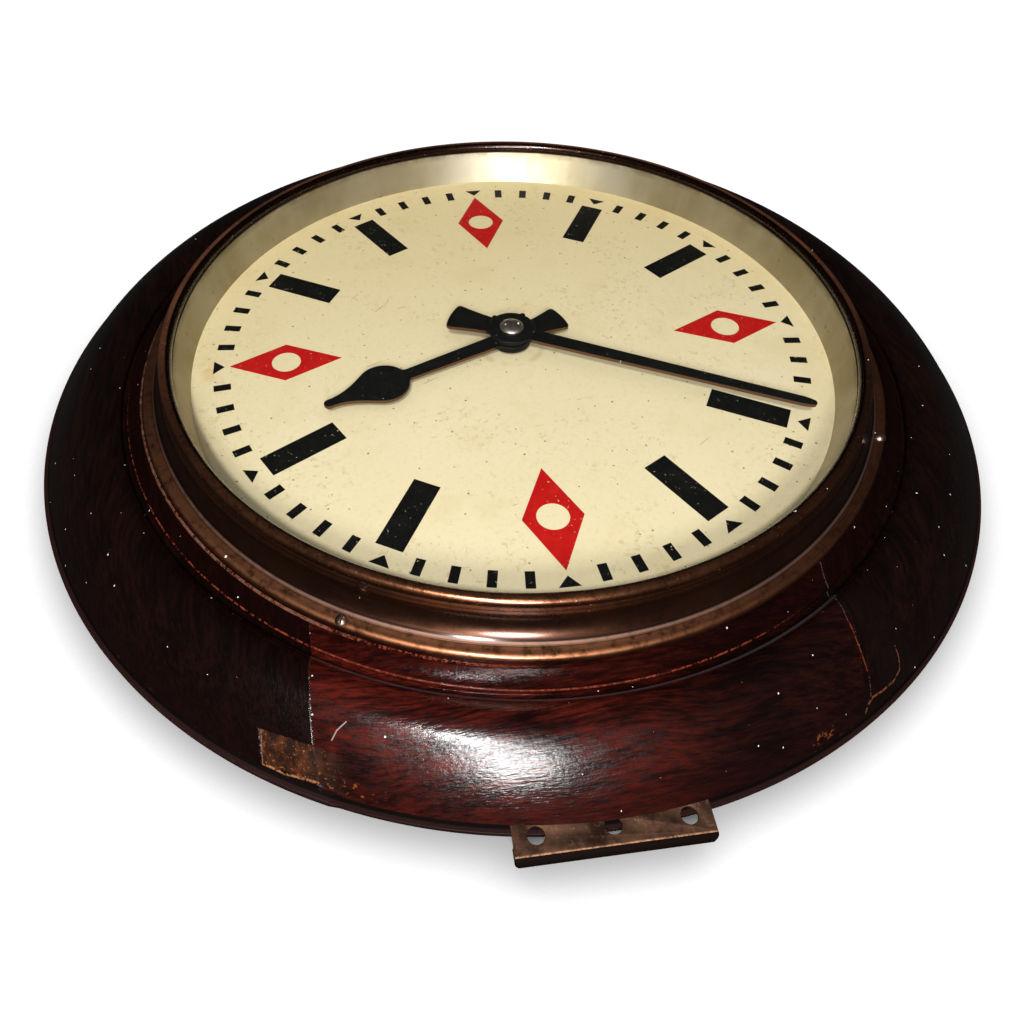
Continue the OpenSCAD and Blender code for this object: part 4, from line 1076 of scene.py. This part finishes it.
def silveredRing():
    f = Finish("silveredBrass", metal=0.92, brushed=0.86).place()
    f.set("across", f.join(0.0, -1.0, 0.0))
    streak = f.noise(f.ring(26.0, 12.0), 1.0, 3.0, 0.5)
    lines = f.noise(f.ring(2.5, 1300.0), 1.0, 2.0, 0.5)
    stain = f.noise(f.at, 16.0, 4.0, 0.6)
    tone = f.mix(f.step(stain, 0.35, 0.72), (0.88, 0.82, 0.64), (0.68, 0.58, 0.34))
    tone = f.over(tone, (0.86, 0.83, 0.72), f.step(streak, 0.45, 0.8), 0.35)
    tarnish = f.times(f.step(f.height, 0.0120, 0.0150), f.spots(60.0, 0.35, 0.6, 4.0, 0.6))
    tone = f.over(tone, (0.30, 0.22, 0.10), tarnish, 0.5)
    tone = f.over(tone, (0.25, 0.19, 0.10), f.spots(190.0, 0.64, 0.72, 4.0, 0.75), 0.5)
    f.set("base", tone)
    f.set("rough", f.plus(f.times(stain, 0.14), 0.49))
    f.set("bump", f.bump(lines, 0.00003, 0.3))
    return f


silveredRing().give(sightRing)


# dial

# small scratches in the enamel, each from a place to a place in metres
dialNicks = [
    ((-0.0630, 0.0330), (-0.0590, 0.0375)), ((-0.0585, 0.0360), (-0.0560, 0.0425)),
    ((-0.0545, 0.0435), (-0.0565, 0.0470)), ((-0.0745, 0.0450), (-0.0705, 0.0490)),
    ((-0.0520, 0.0340), (-0.0480, 0.0352)), ((0.0560, 0.0700), (0.0610, 0.0715)),
    ((-0.0700, -0.0080), (-0.0610, -0.0045)), ((-0.0440, -0.0230), (-0.0370, -0.0190)),
    ((0.0240, -0.0420), (0.0330, -0.0400)), ((-0.0900, -0.0900), (-0.0835, -0.0870)),
    ((0.0700, -0.0760), (0.0760, -0.0715)), ((-0.0150, -0.0990), (-0.0090, -0.0975)),
]


def creamEnamel():
    f = Finish("creamEnamel", specular=0.35).place()
    cloud = f.noise(f.at, 11.0, 4.0, 0.55)
    fine = f.noise(f.at, 130.0, 4.0, 0.65)
    tone = f.mix(f.step(cloud, 0.3, 0.72), (0.735, 0.635, 0.385), (0.765, 0.670, 0.425))
    # painted shade: the enamel is painted darker and yellower towards 12, where the light falls off
    tone = f.over(tone, (0.720, 0.585, 0.300), f.step(f.z, -0.09, 0.15), 0.8)
    edge = f.step(f.radius, 0.128, 0.153)
    tone = f.over(tone, (0.62, 0.50, 0.26), edge, f.step(fine, 0.35, 0.75), 0.35)
    blush = f.spots(34.0, 0.52, 0.70, 4.0, 0.6)
    tone = f.over(tone, (0.66, 0.52, 0.26), blush, 0.35)
    tone = f.over(tone, (0.58, 0.47, 0.24), f.spots(420.0, 0.50, 0.66), 0.22)
    foxing = f.times(f.spots(300.0, 0.57, 0.63, 4.0, 0.8), f.spots(26.0, 0.46, 0.58, 2.0, 0.5))
    tone = f.over(tone, (0.40, 0.28, 0.10), foxing, 0.36)
    nicks = f.most(*[f.line(nick, 0.00035) for nick in dialNicks])
    tone = f.over(tone, (0.30, 0.21, 0.08), nicks, f.step(fine, 0.38, 0.56), 0.6)
    stainNear = f.line([(-0.1425, -0.0030), (-0.1415, -0.0060)], 0.0045)
    tone = f.over(tone, (0.62, 0.36, 0.12), stainNear, 0.35)
    hub = f.times(f.band(f.radius, 0.0135, 0.0165, 0.0010), f.spots(90.0, 0.40, 0.60, 2.0, 0.5))
    tone = f.over(tone, (0.46, 0.36, 0.18), hub, 0.35)
    dots = f.dust(0.0090, 0.00052, 0.60, 0.85)
    tone = f.over(tone, (0.20, 0.13, 0.06), dots)
    across = f.join(f.x, f.times(f.z, 0.05), 0.0)
    slanted = f.join(f.times(f.z, 0.4), f.x, 0.0)
    thin = f.add("Mix", {0: 0.5, 4: across, 5: slanted}, 1, data_type="VECTOR")
    scuffs = f.step(f.noise(thin, 700.0, 2.0, 0.5), 0.70, 0.74)
    scuffs = f.times(scuffs, f.spots(19.0, 0.52, 0.62, 2.0, 0.5), 0.35)
    tone = f.over(tone, (0.52, 0.44, 0.27), scuffs)
    f.set("base", tone)
    f.set("rough", f.plus(f.times(fine, 0.15), 0.34))
    f.set("bump", f.bump(fine, 0.00008, 0.25))
    return f


creamEnamel().give(nodes["dial_plate"])


def printedInk(name, tone, paler):
    f = Finish(name, specular=0.06).place()
    cloud = f.noise(f.at, 160.0, 4.0, 0.7)
    colour = f.mix(f.step(cloud, 0.4, 0.75), tone, paler)
    chips = f.spots(480.0, 0.665, 0.69, 3.0, 0.75)
    colour = f.over(colour, (0.55, 0.47, 0.28), chips, 0.8)
    specks = f.dust(0.006, 0.0003, 0.15, 0.9)
    colour = f.over(colour, (0.7, 0.62, 0.42), specks)
    f.set("base", colour)
    f.set("rough", f.plus(f.times(cloud, 0.15), 0.38))
    f.set("bump", f.bump(cloud, 0.00004, 0.3))
    return f


blackInk = printedInk("blackInk", (0.0030, 0.0030, 0.0027), (0.0065, 0.0062, 0.0055))
redInk = printedInk("redInk", (0.42, 0.0045, 0.0035), (0.49, 0.009, 0.007))
blackInk.give(nodes["minute_marks"], nodes["hour_bars"])
redInk.give(nodes["hour_diamonds"])


def handPaint():
    f = Finish("handPaint", specular=0.14).place()
    cloud = f.noise(f.at, 220.0, 4.0, 0.7)
    tone = f.mix(f.step(cloud, 0.4, 0.75), (0.0030, 0.0029, 0.0026), (0.0075, 0.0068, 0.0058))
    # the cut flanks of the two blades are painted bare and rusty; this brown also stands in for the hands'
    # shadow on the dial (painted shadow)
    split = f.tree.nodes.new("ShaderNodeSeparateXYZ")
    f.feed(split.inputs[0], f.add("NewGeometry", output=1))
    flankAndShadow = f.step(f.math("ABSOLUTE", split.outputs[1]), 0.6, 0.3)
    tone = f.over(tone, (0.120, 0.050, 0.016), flankAndShadow, f.step(f.radius, 0.0115, 0.0125), 0.85)
    specks = f.dust(0.0045, 0.0002, 0.25, 0.85)
    tone = f.over(tone, (0.55, 0.5, 0.42), specks)
    f.set("base", tone)
    f.set("rough", f.plus(f.times(cloud, 0.2), 0.36))
    f.set("bump", f.bump(cloud, 0.00006, 0.35))
    return f


handPaint().give(hourBlade, minuteBlade, hourCollet, minuteCollet)


# plain metals, glass, rubber and plastics

def metal(name, tone, stained, rough, scale):
    f = Finish(name, metal=1.0).place()
    stain = f.noise(f.at, scale, 4.0, 0.6)
    hair = f.noise(f.join(f.x, f.y, f.times(f.z, 0.06)), 1500.0, 2.0, 0.5)
    f.set("base", f.mix(f.step(stain, 0.4, 0.72), tone, stained))
    f.set("rough", f.plus(f.times(stain, 0.2), rough))
    f.set("bump", f.bump(hair, 0.00004, 0.3))
    return f


zincSteel = metal("zincSteel", (0.46, 0.45, 0.43), (0.26, 0.24, 0.21), 0.26, 130.0)
screwSteel = metal("screwSteel", (0.40, 0.27, 0.21), (0.15, 0.09, 0.06), 0.28, 260.0)
nutSilver = metal("nutSilver", (0.66, 0.60, 0.54), (0.36, 0.30, 0.25), 0.34, 420.0)
movementBrass = metal("movementBrass", (0.70, 0.50, 0.19), (0.48, 0.31, 0.11), 0.26, 60.0)
arborSteel = metal("arborSteel", (0.52, 0.52, 0.54), (0.36, 0.35, 0.34), 0.20, 90.0)
magnetIron = metal("magnetIron", (0.14, 0.14, 0.15), (0.09, 0.085, 0.08), 0.36, 120.0)
copperWire = metal("copperWire", (0.62, 0.22, 0.09), (0.42, 0.13, 0.05), 0.28, 400.0)


def bracketFinish():
    f = Finish("bronzedSheet").place()
    cloud = f.noise(f.at, 70.0, 4.0, 0.65)
    fine = f.noise(f.at, 520.0, 4.0, 0.7)
    hair = f.noise(f.join(f.times(f.x, 0.05), f.y, f.z), 1300.0, 2.0, 0.5)
    tone = f.mix(f.step(cloud, 0.36, 0.64), (0.062, 0.028, 0.017), (0.175, 0.086, 0.050))
    tone = f.over(tone, (0.26, 0.14, 0.085), f.step(fine, 0.56, 0.66), 0.6)
    fold = f.step(f.z, -0.2274, -0.2278)
    tone = f.over(tone, (0.0045, 0.0022, 0.0016), fold)
    # partly painted highlight: the bright copper line along the crest of the fold is worn copper and a
    # painted highlight
    rim = f.times(f.band(f.z, -0.22765, -0.22715, 0.00012), f.step(f.y, -0.0110, -0.0132))
    tone = f.over(tone, (0.66, 0.32, 0.17), rim, f.step(fine, 0.30, 0.60))
    specks = f.dust(0.007, 0.0003, 0.2, 0.8)
    tone = f.over(tone, (0.6, 0.5, 0.42), specks)
    f.set("base", tone)
    f.set("specular", f.less(0.5, f.times(fold, 0.47)))
    f.set("metal", f.less(0.85, f.times(fold, 0.85)))
    f.set("rough", f.plus(f.times(cloud, 0.25), f.times(fold, 0.2), 0.36))
    f.set("bump", f.bump(hair, 0.00005, 0.5, f.bump(fine, 0.00012, 0.6)))
    return f


bracketFinish().give(bracketPiece, rearPan)


def clearGlass():
    f = Finish("clearGlass", base=(0.04, 0.045, 0.04), rough=0.04, specular=0.5).place()
    smear = f.spots(40.0, 0.62, 0.80, 5.0)
    f.set("alpha", f.plus(f.times(smear, 0.02), 0.03))
    f.set("bump", f.bump(f.noise(f.at, 25.0, 2.0), 0.00002, 0.2))
    return f


clearGlass().give(nodes["glass"])


def moulded(name, tone, other, rough, scale):
    f = Finish(name, specular=0.4).place()
    cloud = f.noise(f.at, scale, 4.0, 0.65)
    f.set("base", f.mix(f.step(cloud, 0.35, 0.7), tone, other))
    f.set("rough", f.plus(f.times(cloud, 0.2), rough))
    f.set("bump", f.bump(cloud, 0.00005, 0.3))
    return f


blackRubber = moulded("blackRubber", (0.012, 0.012, 0.012), (0.025, 0.024, 0.023), 0.50, 240.0)
brownPlastic = moulded("brownPlastic", (0.030, 0.018, 0.012), (0.050, 0.030, 0.020), 0.30, 150.0)
redLead = moulded("redLead", (0.30, 0.02, 0.015), (0.22, 0.018, 0.012), 0.45, 300.0)

screwSteel.give(bezelHeads)
zincSteel.give(coverHeads, hangerHeads, hangerPiece)
nutSilver.give(nut)
blackRubber.give(inlet)
plainPieces = {
    zincSteel: ["board_screws", "bracket_screws", "pillar_screws", "dial_foot_screws", "stator_screws"],
    movementBrass: ["front_plate", "back_plate", "pillars", "dial_feet", "centre_wheel", "cannon_pinion",
                    "minute_wheel", "minute_pinion", "hour_wheel", "rotor_pinion", "stator_posts",
                    "terminal_screws"],
    arborSteel: ["centre_arbor", "minute_stud", "rotor_arbor", "pole_pieces", "stator_yoke"],
    magnetIron: ["rotor_magnet"],
    copperWire: ["coil_windings"],
    brownPlastic: ["coil_bobbins", "terminal_block"],
    redLead: ["coil_leads"],
}
for finish, names in plainPieces.items():
    for name in names:
        finish.give(nodes[name])
print("finishes are on")


# stage

floor = {"size": 6.0, "tone": (0.30, 0.30, 0.30), "lift": 0.93, "corner": 0.26, "depth": 3.2}

deselect()
bpy.ops.mesh.primitive_plane_add(size=floor["size"], location=(0, 0.0006, 0), rotation=(math.pi / 2, 0, 0))
wall = bpy.context.object
wall.name = "paleWall"
bpy.ops.object.transform_apply(location=True, rotation=True)
pale = Finish("paleWall", base=floor["tone"], rough=0.9, specular=0.0)
seen = pale.add("LightPath", output=0)
shadowRay = pale.add("LightPath", output=1)
glossRay = pale.add("LightPath", output=3)
behind = pale.add("NewGeometry", output=6)
# painted shadow: the wall's camera-only glow is dimmed by ambient occlusion, which paints a soft shade
# round the clock
openShare = pale.add("AmbientOcclusion", {"Distance": floor["corner"]}, 1, samples=16)
openness = pale.math("POWER", openShare, floor["depth"])
glow = pale.add("Emission", {"Color": (1, 1, 1, 1), "Strength": pale.times(seen, openness, floor["lift"])})
lit = pale.add("AddShader", {0: pale.shader.outputs[0], 1: glow})
gone = pale.add("BsdfTransparent")
mixed = pale.add("MixShader", {0: pale.most(behind, shadowRay, glossRay), 1: lit, 2: gone})
pale.tree.links.new(mixed, pale.tree.nodes["Material Output"].inputs[0])
pale.give(wall)

room = {"light": 0.38, "gloss": 0.020}
world = bpy.data.worlds.new("room")
bpy.context.scene.world = world
world.use_nodes = True
tree = world.node_tree
background = tree.nodes["Background"]
background.inputs[0].default_value = (1, 1, 1, 1)
rays = tree.nodes.new("ShaderNodeLightPath")


def roomMath(operation, a, b):
    node = tree.nodes.new("ShaderNodeMath")
    node.operation = operation
    for socket, value in zip(node.inputs, (a, b)):
        if isinstance(value, bpy.types.NodeSocket):
            tree.links.new(value, socket)
        else:
            socket.default_value = value
    return node.outputs[0]


seenWhite = roomMath("MAXIMUM", rays.outputs["Is Camera Ray"], rays.outputs["Is Transmission Ray"])
glossPart = roomMath("MULTIPLY", rays.outputs["Is Glossy Ray"], room["gloss"] - room["light"])
strength = roomMath("ADD", roomMath("MULTIPLY", seenWhite, 1 - room["light"]), glossPart)
tree.links.new(roomMath("ADD", strength, room["light"]), background.inputs[1])
print("stage is set")
